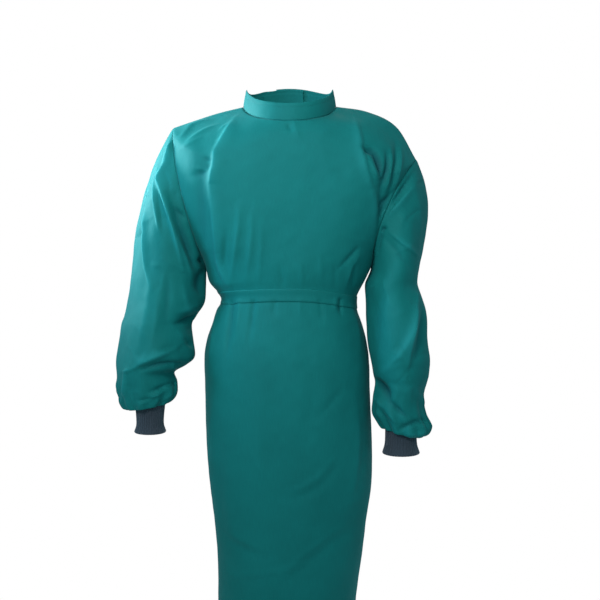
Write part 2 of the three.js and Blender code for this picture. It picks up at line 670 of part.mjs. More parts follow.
// A cuff has its ribs raised on the outside over a plain inside
function cuffSolid({ x, y, sections }) {
  const count = 2 * RIB_COUNT;
  const ringOf = (section, inset) =>
    Array.from({ length: count }, (_, k) => {
      const angle = (2 * Math.PI * k) / count;
      const depth = inset ?? (k % 2) * section.ribbed * RIB_DEPTH;
      return new THREE.Vector3(
        x - (section.wide - depth) * Math.cos(angle),
        y - (section.deep - depth) * Math.sin(angle),
        -section.down,
      );
    });
  const outer = sections.map((section) => ringOf(section));
  const inner = sections.map((section) => ringOf(section, CUFF_WALL));
  return solidBetween(outer, inner, true);
}
for (const [sideName, cuff] of Object.entries(CUFFS)) {
  addPiece("cuff_" + sideName, cuffSolid(cuff), KNIT_LOOK);
}

export default gown;
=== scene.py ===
import math

import bpy
import numpy as np
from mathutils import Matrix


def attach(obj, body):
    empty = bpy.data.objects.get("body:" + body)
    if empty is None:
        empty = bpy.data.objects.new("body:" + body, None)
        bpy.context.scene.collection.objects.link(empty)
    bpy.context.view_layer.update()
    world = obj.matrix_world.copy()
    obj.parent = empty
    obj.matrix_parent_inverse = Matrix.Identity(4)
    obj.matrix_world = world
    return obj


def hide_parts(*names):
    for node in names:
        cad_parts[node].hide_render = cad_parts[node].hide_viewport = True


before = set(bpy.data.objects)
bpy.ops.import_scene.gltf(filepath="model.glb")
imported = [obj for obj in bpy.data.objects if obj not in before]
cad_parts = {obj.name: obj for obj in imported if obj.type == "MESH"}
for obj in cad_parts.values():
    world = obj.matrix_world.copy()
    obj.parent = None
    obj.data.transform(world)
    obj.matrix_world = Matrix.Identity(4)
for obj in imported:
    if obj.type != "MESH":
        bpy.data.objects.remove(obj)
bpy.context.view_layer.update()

# The looks of a worn surgical gown. Tables are in millimetres, +Z up, front towards -Y.
MM = 0.001
RNG = np.random.default_rng(41)
SEEDS = {"front": 3, "back": 5, "sleeve": 11}


def table(columns, *rows):
    """Rows of named columns."""
    names = columns.split()
    return [dict(zip(names, row)) for row in rows]


# The photo's camera, in millimetres, degrees and pixels

CAMERA_PLACE = (21, -2292.91, -219.44)
CAMERA_TILT = 4.5
LENS = 65.714
SENSOR = 36
PHOTO_SIDE = 600

# Cut and pose of the gown

CENTRE_REACH = 0.64
EDGE_REACH = 0.36
LAP = 0.18
LAP_DEPTH = 3.4
LAP_RAMP = (-2.2, -1.2)
SHOULDER_Y = 12
SIDE_Y = 4
ARMHOLE_DEPTH = 73
ARMHOLE_ROUND = 0.8
BAND_HEIGHT = 35
BAND_LEAN = 7
BAND_SWELL = 0.9
BAND_ROLL = 0.55
BAND_ROLL_FROM = (0.74, 0.82)
BELT_TOP = 385.5
BELT_BOTTOM = 412.5
BELT_LIFT = 0.6
BELT_CROWN = 1.3
EDGE_POWER = 6
HEM = 1250
RIB_COUNT = 36
RIB_DEPTH = 0.9
RIB_POWER = 1.4
LIP_DEPTH = 1.6
LIP_HEIGHT = 2.4
CUFF_SLACK = 0.5
CUFF_LEAN = 0.04
SLEEVE_FLAT = 0.55
# Fold depth in millimetres that gives full painted shade in a hollow and a full painted highlight on a ridge
FULL_SHADE_FOLD = 12
SEAM_GAP = 0.3
WALL = {"cloth": 1.0, "band": 1.5, "belt": 1.5, "knot": 1.8, "tail": 1.3, "cuff": 2.0}
WAIST_RISE = {"front": 17, "back": -2, "right": 5, "left": -6}
SIGN = {"right": -1, "left": 1}

YOKE = table(
    "at frontY frontZ backY backZ out back up",
    (0.0, -85, -34, 72, 10, 0.15, 0.85, 0.45),
    (0.5, -102, -62, 92, -22, 0.15, 0.9, 0.4),
    (1.0, -112, -98, 104, -62, 0.3, 0.85, 0.3),
    (1.5, -119, -205, 116, -190, 0.75, 0.6, 0.0),
    (2.0, -117, -322, 117, -322, 0.0, 1.0, 0.0),
)

SHOULDER = table(
    "at rightX rightZ leftX leftZ",
    (0.0, -97, 2, 96, 3),
    (0.35, -147, -10, 162, -8),
    (0.7, -198, -26, 222, -39),
    (1.0, -242, -41, 263, -106),
)

TRUNK = table(
    "down right left front back tilt",
    (322, -176, 172, -117, 117, 0),
    (341, -172.3, 162.5, -115, 115.6, 0.25),
    (366, -166, 149, -111, 108, 0.7),
    (384, -153, 140, -108, 101, 1),
    (400, -142, 138, -106, 98, 1),
    (417, -146, 140, -108, 101, 1),
    (450, -160, 151, -113, 109, 0.7),
    (484, -173, 159, -117, 117, 0.3),
    (518, -179, 164, -120, 123, 0),
    (586, -178, 167, -122, 127, 0),
    (706, -176, 173, -121, 125, 0),
    (793, -169, 172, -119, 121, 0),
    (862, -161, 162, -117, 118, 0),
    (932, -155, 154, -115, 116, 0),
    (1002, -153, 144, -113, 115, 0),
    (1046, -153, 139, -112, 114, 0),
    (1250, -150, 134, -110, 114, 0),
)

ARMHOLES = {
    "right": {"underarm": (-176, SIDE_Y, -322), "bow": -10, "tipOut": 0.6},
    "left": {"underarm": (172, SIDE_Y, -322), "bow": -22, "tipOut": 0.52},
}
LEAVE = {"faceOut": 0.75, "spread": 0.2, "tipFall": 0.9, "faceFall": 0.6}

SLEEVES = {
    "right": table(
        "ring down outer inner front back dip gather",
        (0, 348, -333, -177, -80, 82, 0, 0),
        (1, 400, -339, -180, -84, 74, 0, 0),
        (2, 432, -346, -196, -88, 67, 0, 0),
        (3, 449, -351, -205, -92, 62, 0, 0),
        (4, 482, -355, -201, -100, 52, 0, 0),
        (5, 515, -360, -198, -105, 42, 0, 0),
        (6, 532, -361, -216, -104, 36, 0, 0),
        (7, 546, -360, -240, -100, 30, 0, 0),
        (8, 568, -357, -235, -99, 24, 2, 0.6),
        (9, 590, -353, -235, -97, 18, 4, 1.6),
        (10, 606, -349, -242, -94, 10, 6, 2.8),
        (11, 616, -338, -253, -89, -2, 7, 2.6),
        (12, 604, -321.5, -257.5, -80, -14, 2, 0.3),
    ),
    "left": table(
        "ring down outer inner front back dip gather",
        (0, 348, 268, 163, -82, 70, 0, 0),
        (1, 368, 266, 157, -84, 62, 0, 0),
        (2, 398, 275, 160, -90, 52, 0, 0),
        (3, 432, 283, 160, -98, 42, 0, 0),
        (4, 482, 285, 161, -105, 30, 0, 0),
        (5, 516, 289, 167, -107, 24, 0, 0),
        (6, 549, 287, 173, -105, 18, 0, 0),
        (7, 568, 283, 177, -101, 14, 0, 0),
        (8, 600, 276, 173, -99, 10, 0, 0.6),
        (9, 630, 281, 172, -98, 8, 3, 1.6),
        (10, 652, 292, 180, -95, 4, 8, 2.8),
        (11, 670, 281, 193, -90, -4, 8, 2.6),
        (12, 654, 264.6, 197.4, -78.2, -13.8, 2, 0.3),
    ),
}

CUFFS = {
    "right": {
        "x": -289.5,
        "y": -47,
        "sections": table(
            "down wide deep ribbed",
            (600, 31.4, 32.4, 0.2),
            (606, 31.4, 32.4, 1),
            (653, 28.4, 29.5, 1),
            (671, 33.6, 34.5, 0.7),
        ),
    },
    "left": {
        "x": 231,
        "y": -46,
        "sections": table(
            "down wide deep ribbed",
            (650, 32.7, 31.3, 0.2),
            (656, 32.7, 31.3, 1),
            (696, 33.8, 31.5, 1),
            (716, 39.6, 37, 0.7),
        ),
    },
}

# Folds: a line in x and z that bows sideways by bend, its width, how far it stands out (+) or lies in (-),
# how sharp it is, whether it is strongest at its start (1) or halfway (0), and how much wider one slope is
FOLD = "x0 z0 x1 z1 bend wide deep crisp root skew"

# A fold as the photo shows it: pixels of its start, middle and end, and how far forward the cloth is there
SEEN_FOLD = "start middle end forward wide deep crisp root skew"
STRAIGHT = None
LEAST_BOW = 0.5


def at_pixel(pixel, forward):
    """Where the ray through a pixel of the photo meets the upright plane at a depth, in x and z."""
    across = (pixel[0] - PHOTO_SIDE / 2) * SENSOR / (LENS * PHOTO_SIDE)
    up = (PHOTO_SIDE / 2 - pixel[1]) * SENSOR / (LENS * PHOTO_SIDE)
    sine, cosine = math.sin(math.radians(CAMERA_TILT)), math.cos(math.radians(CAMERA_TILT))
    travel = (forward - CAMERA_PLACE[1]) / (cosine + up * sine)
    return np.array([CAMERA_PLACE[0] + travel * across, CAMERA_PLACE[2] + travel * (up * cosine - sine)])


def seen_folds(*rows):
    """Folds in millimetres from rows of folds in the photo."""
    folds = []
    for seen in table(SEEN_FOLD, *rows):
        start = at_pixel(seen["start"], seen["forward"])
        end = at_pixel(seen["end"], seen["forward"])
        bend = 0
        if seen["middle"] is not STRAIGHT:
            length = np.hypot(*(end - start))
            ahead = (end - start) / length
            middle = at_pixel(seen["middle"], seen["forward"]) - start
            along = middle @ ahead / length
            bend = (middle[1] * ahead[0] - middle[0] * ahead[1]) / max(4 * along * (1 - along), LEAST_BOW)
        shape = {key: seen[key] for key in ("wide", "deep", "crisp", "root", "skew")}
        folds.append({"x0": start[0], "z0": start[1], "x1": end[0], "z1": end[1], "bend": bend, **shape})
    return folds


FRONT_FOLDS = seen_folds(
    ((232, 117), (225, 132), (214.5, 153), -85, 11, 6, 0.75, 0.1, 0.6),
    ((215, 149), (213.6, 166), (209.5, 185), -80, 12, 7.5, 0.7, 0, 0.6),
    ((210.5, 182), (213.5, 215), (217.5, 262), -85, 13, 5, 0.5, 0.1, 0.5),
    ((216, 252), (220, 270), (229, 289), -85, 9, 4, 0.5, 0.1, 0.4),
    ((211, 167), (202, 173), (189, 177), -70, 8, -3.6, 0.5, 0.6, 0),
    ((212, 161), STRAIGHT, (203, 158), -70, 6, -3, 0.6, 0.6, 0),
    ((210, 171.5), STRAIGHT, (196, 168), -70, 5, 3, 0.6, 0.3, 0),
    ((205, 150), (203, 187), (206, 254), -55, 15, -4.5, 0.2, 0.1, 0),
    ((206, 118), (195, 121), (182, 128), -50, 5, 2.6, 0.8, 0.2, 0.3),
    ((216, 124), (200, 131), (185, 144), -60, 5, 2.8, 0.8, 0.2, 0.3),
    ((226, 123.5), STRAIGHT, (219, 130), -70, 4, 3, 0.8, 0.2, 0.4),
    ((201, 138), STRAIGHT, (180, 150), -50, 5, 2, 0.7, 0.2, 0),
    ((190, 124), STRAIGHT, (179, 140), -40, 5, 1.8, 0.7, 0.2, 0),
    ((240, 205), (236, 240), (229, 285), -100, 7, 3.4, 0.6, 0.1, 0.3),
    ((252, 212), (250, 245), (245, 286), -108, 7, 2.6, 0.6, 0.1, 0.3),
    ((262, 225), (261, 250), (258, 287), -112, 6, 1.8, 0.6, 0.1, 0),
    ((227, 232), STRAIGHT, (224, 270), -90, 6, -2.5, 0.5, 0.1, 0),
    ((281, 266), STRAIGHT, (283, 288), -112, 5, -1.6, 0.6, 0.1, 0),
    ((301, 262), STRAIGHT, (302, 288), -112, 5, 1.5, 0.6, 0.1, 0),
    ((320, 256), STRAIGHT, (322, 288), -110, 6, 1.8, 0.6, 0.1, 0),
    ((335, 262), STRAIGHT, (336, 288), -105, 6, -2, 0.6, 0.1, 0),
    ((356, 113), (360, 144), (371, 192), -68, 11, 6, 0.6, 0.1, -0.55),
    ((371, 186), (377, 215), (372, 256), -62, 12, 5, 0.5, 0.1, -0.5),
    ((362.5, 149), STRAIGHT, (373, 154), -62, 6, -10, 0.6, 0.3, 0),
    ((371.5, 151), (377, 161), (380.5, 179), -55, 7, -15, 0.6, 0.2, 0),
    ((368, 158), (372, 168), (378, 182), -60, 6, 4, 0.5, 0.1, 0),
    ((387, 154), (386.5, 172), (380.5, 187), -55, 6.5, -11, 0.6, 0.2, 0),
    ((391, 148), (390, 172), (383, 195), -55, 6, 5, 0.6, 0.1, 0),
    ((397.5, 144), (393.5, 172), (388, 192), -50, 7, -9, 0.55, 0.1, 0),
    ((402, 142), (398.5, 170), (392, 194), -48, 7, 5, 0.6, 0.1, -0.3),
    ((380.5, 206), STRAIGHT, (392, 192), -50, 5, -7, 0.6, 0.4, 0),
    ((380, 214), (393, 196), (404, 178), -50, 5, -7, 0.6, 0.3, 0),
    ((380.5, 180), (379.5, 212), (376, 250), -60, 8, -6, 0.4, 0.1, 0),
    ((357, 249), (349, 258), (336, 271), -90, 5, -4, 0.7, 0.6, 0),
    ((359, 256), (352, 268), (346, 288), -85, 6, 3.6, 0.6, 0.2, -0.3),
    ((354, 262), STRAIGHT, (353, 289), -85, 5, -3.2, 0.7, 0.2, 0),
    ((289, 126), STRAIGHT, (293, 133), -105, 5, -3, 0.7, 1, 0),
    ((295, 124), (297, 132), (300, 145), -105, 6, 1.6, 0.6, 0.9, 0),
    ((340, 301), STRAIGHT, (341.5, 320), -95, 4.5, -5.5, 0.8, 1, 0),
    ((335, 301), STRAIGHT, (335, 314), -98, 4.5, 2.6, 0.7, 1, 0),
    ((253, 303), STRAIGHT, (247, 354), -108, 6, -3.8, 0.6, 1, 0.2),
    ((231, 304), (228, 335), (223, 376), -90, 7, -4.6, 0.6, 1, 0.2),
    ((239, 303), STRAIGHT, (234, 345), -98, 6, 3, 0.6, 1, 0.3),
    ((217, 312), (211, 345), (207, 384), -70, 7, 3.6, 0.6, 0.8, 0.3),
    ((275, 302), STRAIGHT, (273, 320), -110, 5, -2, 0.6, 1, 0),
    ((300, 302), STRAIGHT, (301, 322), -110, 6, 1.5, 0.6, 1, 0),
    ((320, 302), STRAIGHT, (323, 326), -105, 5, -2.2, 0.6, 1, 0),
    ((352, 310), (358, 330), (362, 360), -75, 7, 3, 0.6, 0.8, -0.3),
    ((343, 390), STRAIGHT, (318, 418), -112, 7, -2.4, 0.6, 0.2, 0),
    ((334, 457), (312, 481), (287, 491), -112, 4.5, 2.2, 0.8, 0.1, 0.3),
    ((338, 464), (316, 488), (288, 498), -112, 9, -2.4, 0.4, 0.1, 0),
    ((227, 537), STRAIGHT, (266, 551), -105, 4.5, 2, 0.8, 0.1, 0.3),
    ((224, 543), STRAIGHT, (262, 558), -105, 9, -2, 0.4, 0.1, 0),
    ((280, 575), (312, 548), (352, 522), -105, 4.5, 2.2, 0.8, 0.1, 0.3),
    ((284, 582), (316, 556), (350, 532), -105, 10, -2.4, 0.4, 0.1, 0),
    ((219, 582), (270, 572), (328, 557), -105, 4.5, 2, 0.8, 0.1, 0.3),
    ((213, 405), (210, 440), (211, 500), -60, 9, 3.4, 0.5, 0.1, 0.3),
    ((222, 420), (220, 470), (224, 560), -85, 14, -2.6, 0.3, 0.1, 0),
    ((356, 400), (358, 440), (352, 500), -80, 10, 2.8, 0.4, 0.1, -0.3),
    ((262, 380), (258, 430), (262, 500), -112, 18, 1.8, 0.3, 0.1, 0),
    ((310, 350), (312, 400), (306, 450), -112, 18, -1.8, 0.3, 0.1, 0),
)

BACK_FOLDS = table(
    FOLD,
    (-96, -58, -130, -196, -8, 16, -6, 0.4, 0.3, 0.3),
    (112, -66, 138, -206, 8, 16, -6, 0.4, 0.3, -0.3),
    (-150, -70, -178, -210, -6, 11, 2.6, 0.5, 0.3, 0),
    (156, -90, 172, -230, 6, 11, 2.6, 0.5, 0.3, 0.2),
    (-58, -34, -40, -150, 4, 12, 1.8, 0.5, 0.6, 0),
    (64, -34, 52, -140, -4, 12, 1.6, 0.5, 0.6, -0.2),
    (-104, -236, -96, -376, 2, 12, 3.4, 0.5, 0.2, 0.4),
    (-68, -270, -62, -378, 2, 9, 2.2, 0.6, 0.1, 0),
    (-134, -290, -116, -376, 0, 9, -2.2, 0.5, 0.1, 0.2),
    (96, -246, 90, -380, 2, 12, 3.2, 0.5, 0.2, -0.4),
    (66, -286, 60, -380, 0, 9, 1.8, 0.6, 0.1, 0.3),
    (128, -300, 108, -378, 0, 9, -2.2, 0.5, 0.1, -0.3),
    (-92, -410, -106, -528, 3, 12, -3.4, 0.5, 1, 0),
    (-66, -410, -70, -490, 0, 9, 2.0, 0.6, 1, 0.2),
    (-124, -410, -146, -540, 5, 10, 2.2, 0.5, 1, 0),
    (88, -412, 104, -548, 4, 12, -3.4, 0.5, 1, -0.2),
    (58, -412, 62, -480, 0, 9, 1.8, 0.6, 1, 0.4),
    (122, -412, 138, -530, -4, 10, 2.0, 0.5, 1, 0),
    (60, -890, 94, -1130, 8, 18, -3.2, 0.4, 0.1, 0.2),
    (-96, -640, -110, -920, 6, 20, 2.4, 0.3, 0.1, -0.4),
    (-50, -930, -60, -1246, 4, 20, 2.4, 0.3, 0.2, 0.3),
    (112, -620, 120, -860, -5, 18, 2.2, 0.3, 0.1, -0.3),
    (-128, -760, -30, -820, 8, 12, -1.6, 0.6, 0.1, 0),
    (120, -980, 40, -1040, -6, 12, -1.6, 0.6, 0.1, 0.2),
)

RIGHT_SLEEVE_FRONT = seen_folds(
    ((174, 136), (169, 150), (163.5, 168), -30, 7, 7, 0.7, 0.1, 0.4),
    ((165, 163), (160.5, 172), (158.5, 186), -50, 5, 5.5, 0.75, 0.1, 0.4),
    ((154.8, 172), (166.5, 211), (181.5, 271), -75, 6.5, 10, 0.8, 0.25, 0.5),
    ((153, 180), (155, 204), (159.5, 231), -65, 5, 7.5, 0.8, 0.3, 0.5),
    ((144.6, 209), (144.6, 240), (145, 268), -50, 5, 9, 0.8, 0.1, 0.5),
    ((145, 260), (148, 277), (156, 292), -60, 5, 4, 0.7, 0.2, 0.4),
    ((158, 196), STRAIGHT, (163, 232), -70, 6, -3, 0.5, 0.1, 0),
    ((170, 196), (179, 226), (190, 262), -75, 9, -6.5, 0.4, 0.1, 0),
    ((183, 232), (189, 254), (196, 276), -70, 7, -5, 0.5, 0.1, 0),
    ((178, 238), (184, 258), (191, 282), -75, 6, 3.5, 0.6, 0.1, 0.3),
    ((186, 218), STRAIGHT, (173.5, 207), -65, 5, -4.5, 0.7, 0.7, 0),
    ((204, 262), STRAIGHT, (196, 258), -50, 7, -9, 0.5, 0.7, 0),
    ((203, 268), (198, 280), (203, 300), -50, 10, -8, 0.4, 0.2, 0),
    ((169, 274), (167, 300), (165, 332), -85, 10, -4, 0.4, 0.1, 0),
    ((181, 280), (184, 300), (189, 318), -80, 8, 3.4, 0.5, 0.1, 0.2),
    ((150, 276), (147, 310), (140, 345), -70, 11, 3, 0.4, 0.1, 0.2),
    ((158, 300), (156, 322), (152, 345), -80, 8, 2.4, 0.5, 0.1, 0),
    ((193, 319), (186, 321), (172, 326), -75, 7, -8, 0.6, 0.95, 0),
    ((193, 308), STRAIGHT, (173, 314), -78, 8, 3.4, 0.5, 0.6, 0),
    ((183, 341), (188, 346), (194, 350.5), -80, 6, -6, 0.6, 0.4, 0),
    ((174, 330), (182, 341), (191, 354), -85, 8, 3.6, 0.5, 0.2, 0),
    ((176, 349), (152, 359), (126.5, 372), -92, 9, 7, 0.6, 0.2, -0.5),
    ((161, 349), STRAIGHT, (175, 347.5), -88, 6, -4, 0.5, 0.4, 0),
    ((179, 364.5), (160, 363.5), (139, 371), -90, 7, -8, 0.5, 0.4, 0),
    ((174, 365), STRAIGHT, (170.5, 374), -85, 4, 3.5, 0.7, 0.3, 0),
    ((126.6, 370), (126, 384), (121.5, 404), -58, 5, 6, 0.8, 0.1, 0.4),
    ((115.8, 377), (118.8, 387), (118, 398), -35, 4.5, 5, 0.8, 0.1, 0.3),
    ((126.5, 371), STRAIGHT, (133, 367), -75, 5, 4, 0.7, 0.3, 0),
    ((167.5, 385.5), STRAIGHT, (147.5, 393), -85, 5.5, -6, 0.65, 0.5, 0),
    ((178, 387), STRAIGHT, (166, 384), -80, 6, -4.5, 0.6, 0.6, 0),
    ((155, 397.5), STRAIGHT, (137, 400), -80, 6, -4.5, 0.6, 0.3, 0),
    ((166, 389), (155, 396), (141, 404), -82, 7, 3.6, 0.6, 0.3, -0.3),
    ((174, 394), (160, 402), (148, 408), -80, 7, 3, 0.6, 0.3, -0.3),
    ((178, 380), STRAIGHT, (166, 376), -82, 6, 2.6, 0.6, 0.4, 0),
    ((133, 392), STRAIGHT, (136, 408), -70, 5, 2.8, 0.6, 0.3, 0),
    ((155, 400), STRAIGHT, (153, 410), -85, 5, -2.4, 0.6, 0.2, 0),
    ((128, 340), (134, 352), (150, 360), -75, 10, 2.8, 0.4, 0.1, 0),
)

RIGHT_SLEEVE_BACK = table(
    FOLD,
    (-330, -250, -236, -334, 8, 14, -5, 0.5, 0.3, 0),
    (-338, -330, -250, -392, 6, 12, 3.0, 0.5, 0.2, -0.2),
    (-340, -420, -232, -458, 8, 12, -6, 0.5, 0.4, 0.4),
    (-344, -466, -262, -496, 6, 11, 3.4, 0.5, 0.2, 0),
    (-342, -500, -258, -544, 6, 12, -5, 0.5, 0.4, 0.2),
    (-270, -120, -258, -250, 5, 11, 3.0, 0.5, 0.2, -0.4),
    (-330, -560, -262, -584, 4, 9, -3.4, 0.6, 0.3, 0.3),
    (-300, -180, -296, -290, -4, 10, 2.4, 0.5, 0.2, -0.3),
    (-250, -200, -230, -300, 4, 9, -2.8, 0.5, 0.2, 0),
)

LEFT_SLEEVE_FRONT = seen_folds(
    ((380, 216), (398, 193), (416, 171), -48, 6.5, -8, 0.6, 0.45, 0),
    ((384, 219), (403, 198), (418, 181), -48, 7, 5, 0.6, 0.2, -0.3),
    ((378, 228.6), STRAIGHT, (388, 228.4), -55, 4.5, -7.5, 0.7, 0.8, 0),
    ((390, 233), (403, 244), (419.5, 258), -60, 6.5, 5, 0.75, 0.15, 0.5),
    ((385, 238), (396, 251), (412, 272), -65, 8, -4, 0.4, 0.2, 0),
    ((408, 164), STRAIGHT, (417.5, 163), -10, 4, -2.6, 0.8, 0.3, 0),
    ((381, 190), (380.5, 217), (376, 258), -45, 7, -7, 0.5, 0.1, 0),
    ((419.5, 297), (413, 327), (377.5, 377), -88, 11, 6, 0.6, 0.1, 0.2),
    ((419, 297), (413, 327), (407, 372), -85, 9, 6, 0.6, 0.1, -0.6),
    ((424, 304), (420, 330), (413, 362), -60, 9, -7, 0.4, 0.1, 0),
    ((374, 300), (378, 330), (374, 360), -80, 11, -3.2, 0.4, 0.1, 0),
    ((392, 276), (388, 300), (390, 330), -85, 12, 2.2, 0.4, 0.1, 0),
    ((372, 381), (381, 386), (389, 402), -82, 9, -12, 0.5, 0.3, 0),
    ((390, 402), (398, 409), (410, 418), -88, 6, -7, 0.65, 0.4, 0),
    ((374, 398), (380, 404), (387, 410), -80, 6.5, 4, 0.5, 0.2, 0),
    ((380, 412), STRAIGHT, (394, 424), -80, 5.5, -4, 0.6, 0.4, 0),
    ((376, 408), STRAIGHT, (380, 420), -75, 5.5, 2.8, 0.6, 0.3, 0),
    ((388, 412), STRAIGHT, (397, 424), -82, 6, 3.2, 0.5, 0.2, 0),
    ((398.5, 428), (410, 421.5), (432, 424), -72, 6, -7, 0.65, 0.2, 0),
    ((402, 431), (416, 433), (432, 427), -75, 8, 4.6, 0.5, 0.1, 0),
    ((413, 385), (420, 396), (428, 412), -60, 8, 3.6, 0.5, 0.1, -0.3),
    ((421, 404), STRAIGHT, (427, 414), -50, 5, -4, 0.6, 0.2, 0),
    ((402, 376), (408, 390), (410, 408), -85, 9, 2.6, 0.4, 0.1, 0),
    ((414, 190), (419, 215), (418, 245), -30, 9, 2.6, 0.4, 0.1, 0),
)

LEFT_SLEEVE_BACK = table(
    FOLD,
    (262, -250, 186, -334, -8, 14, -5, 0.5, 0.3, 0.2),
    (266, -320, 196, -386, -6, 12, 3.0, 0.5, 0.2, 0),
    (276, -430, 182, -466, -8, 12, -6, 0.5, 0.4, -0.2),
    (280, -480, 206, -512, -6, 11, 3.2, 0.5, 0.2, 0.4),
    (282, -540, 194, -584, -6, 12, -5, 0.5, 0.4, 0),
    (272, -600, 206, -626, -4, 9, -3.4, 0.6, 0.3, 0.2),
    (226, -120, 214, -240, 5, 11, 3.0, 0.5, 0.2, -0.4),
)

SLEEVE_FOLDS = {
    "right": {"front": RIGHT_SLEEVE_FRONT, "back": RIGHT_SLEEVE_BACK},
    "left": {"front": LEFT_SLEEVE_FRONT, "back": LEFT_SLEEVE_BACK},
}

# Free ends of the belt: places down the back and across it, as a share of a half row
TAILS = {
    "left": {"down": (416.8, 520, 607.6), "across": (0.012, 0.0984, 0.12)},
    "right": {"down": (416.8, 520, 680.6), "across": (-0.082, -0.1135, -0.128)},
}
TAIL_WIDTH = 0.088
TAIL_LIFT = 2.5
TAIL_CROWN = 0.5
TAIL_TWIST = {"high": 0.7, "turns": 9}
TAIL_WAVE = {"high": 0.45, "turns": 7}

# The knot: places down the back and across it, and how far it stands out
KNOT = {
    "top": BELT_TOP - 2,
    "bottom": BELT_BOTTOM + 2.5,
    "left": 0.05,
    "right": -0.11,
    "lift": 2.2,
    "height": 9.5,
    "wrinkle": 0.5,
    "wrapLean": 0.35,
    "wrapWidth": 0.42,
    "wrapHeight": 4.2,
    "wrapWrinkle": 0.4,
}

# Mesh steps
SHOULDER_ROWS = 26
ARMHOLE_ROWS = 96
FRONT_COLUMNS = 148
BACK_COLUMNS = 84
FAN_RINGS = 108
SLEEVE_RINGS = 112
UNDERARM = TRUNK[0]["down"]
HIP = 520
TRUNK_STEPS = (
    (UNDERARM, BELT_TOP, 22),
    (BELT_TOP, BELT_BOTTOM, 12),
    (BELT_BOTTOM, HIP, 34),
    (HIP, HEM, 118),
)
BAND_ROWS = 22
TAIL_ROWS = 96
TAIL_COLUMNS = 15
KNOT_STEPS = 41
CUFF_ROWS = 44
RIB_POINTS = 6

# How soft the cloth is: calm stretches by seams, belt and cuffs, and how a fold's slopes run out
SEAM_RISE = 0.9
SEAM_REACH = 3.2
PANEL_SEAM_CALM = (0, 0.06)
WAIST_DOWN = 392
WAIST_CALM = (3, 46)
ARMHOLE_CALM = (0, 13)
CUFF_CALM = (2, 34)
FACING = (0.06, 0.5)
FOLD_ROUND = 0.3
FOLD_DECAY = 0.62
FOLD_ENDS = (0.04, 0.96)
FOLD_FADE = 0.7
FOLD_HOLD = 0.35
EASE = {"rows": 16, "full": 0.4, "edge": (0.01, 0.22), "rate": 0.7, "rounds": 60}
GATHERS = {"many": 13, "uneven": 1.3, "few": 7, "share": 0.5}

# Slow waves of the cloth: about how long and how high
RIPPLES = {"panel": ((150, 0.9), (46, 0.28)), "sleeve": ((110, 1.3), (40, 0.4))}
WAVE = {"count": 7, "lengths": (0.6, 1.6), "upright": 0.6, "phases": (0, 6.28), "sum": 3}

# Small creases of each piece, and the ranges that they are drawn from
CREASES = "count xMin xMax zMin zMax deep lean"
SMALL_CREASES = {
    "front": table(CREASES, (44, -140, 140, -1230, -430, 0.75, 28), (16, -140, 150, -340, -70, 0.6, 60)),
    "back": table(CREASES, (40, -140, 140, -1230, -430, 0.9, 28), (18, -150, 150, -350, -40, 0.8, 60)),
    "right": table(CREASES, (34, -345, -190, -620, -90, 1.6, 45)),
    "left": table(CREASES, (34, 170, 280, -620, -90, 1.6, 45)),
}
CREASE = {
    "length": (22, 74),
    "turn": 22,
    "share": (0.4, 1),
    "bend": (-6, 6),
    "wide": (4, 9),
    "crisp": 0.7,
    "skew": (-0.4, 0.4),
}


# Surfaces

def smooth(low, high, value):
    t = np.clip((value - low) / (high - low), 0, 1)
    return t * t * (3 - 2 * t)


def unit(vectors):
    return vectors / np.maximum(np.linalg.norm(vectors, axis=-1, keepdims=True), 1e-9)


def points_of(x, y, z):
    return np.stack(np.broadcast_arrays(x, y, z), -1).astype(float)


def hermite(start, leave, end, arrive, t):
    rest = 1 - t
    return rest * rest * ((1 + 2 * t) * start + t * leave) + t * t * ((3 - 2 * t) * end - rest * arrive)


def columns_at(rows, key, places):
    """Every column of a table at places along its key column, on a smooth curve through the rows."""
    places = np.asarray(places, float)
    keys = np.array([row[key] for row in rows], float)
    low = np.clip(np.searchsorted(keys, places, side="right") - 1, 0, len(keys) - 2)
    before = np.maximum(low - 1, 0)
    after = np.minimum(low + 2, len(keys) - 1)
    span = keys[low + 1] - keys[low]
    t = (places - keys[low]) / span
    found = {}
    for column in rows[0]:
        values = np.array([row[column] for row in rows], float)
        slope_in = (values[low + 1] - values[before]) / (keys[low + 1] - keys[before])
        slope_out = (values[after] - values[low]) / (keys[after] - keys[low])
        found[column] = hermite(values[low], slope_in * span, values[low + 1], slope_out * span, t)
    return found


YOKE_AT = np.concatenate(
    [np.arange(SHOULDER_ROWS) / SHOULDER_ROWS, 1 + np.arange(ARMHOLE_ROWS) / ARMHOLE_ROWS]
)
TRUNK_DOWN = np.concatenate(
    [np.linspace(start, end, steps, endpoint=False) for start, end, steps in TRUNK_STEPS] + [[HEM]]
)
FIRST_TRUNK = len(YOKE_AT)


def row_at(down):
    """Row number at a depth below the origin, on the trunk."""
    return FIRST_TRUNK + np.interp(down, TRUNK_DOWN, np.arange(len(TRUNK_DOWN)))


def yoke_seam(yoke, side, face):
    shoulder = columns_at(SHOULDER, "at", np.minimum(yoke, 1))
    points = points_of(shoulder[side + "X"], SHOULDER_Y, shoulder[side + "Z"])
    past = np.clip(yoke - 1, 0, 1)
    turn = np.pi * past
    fall = (past + (1 - np.cos(turn)) / 2) / 2
    hole = ARMHOLES[side]
    points += (np.array(hole["underarm"]) - points) * fall[:, None]
    sine = np.clip(np.sin(turn), 0, 1)
    points[:, 0] += hole["bow"] * sine
    points[:, 1] += face * ARMHOLE_DEPTH * sine**ARMHOLE_ROUND
    return points


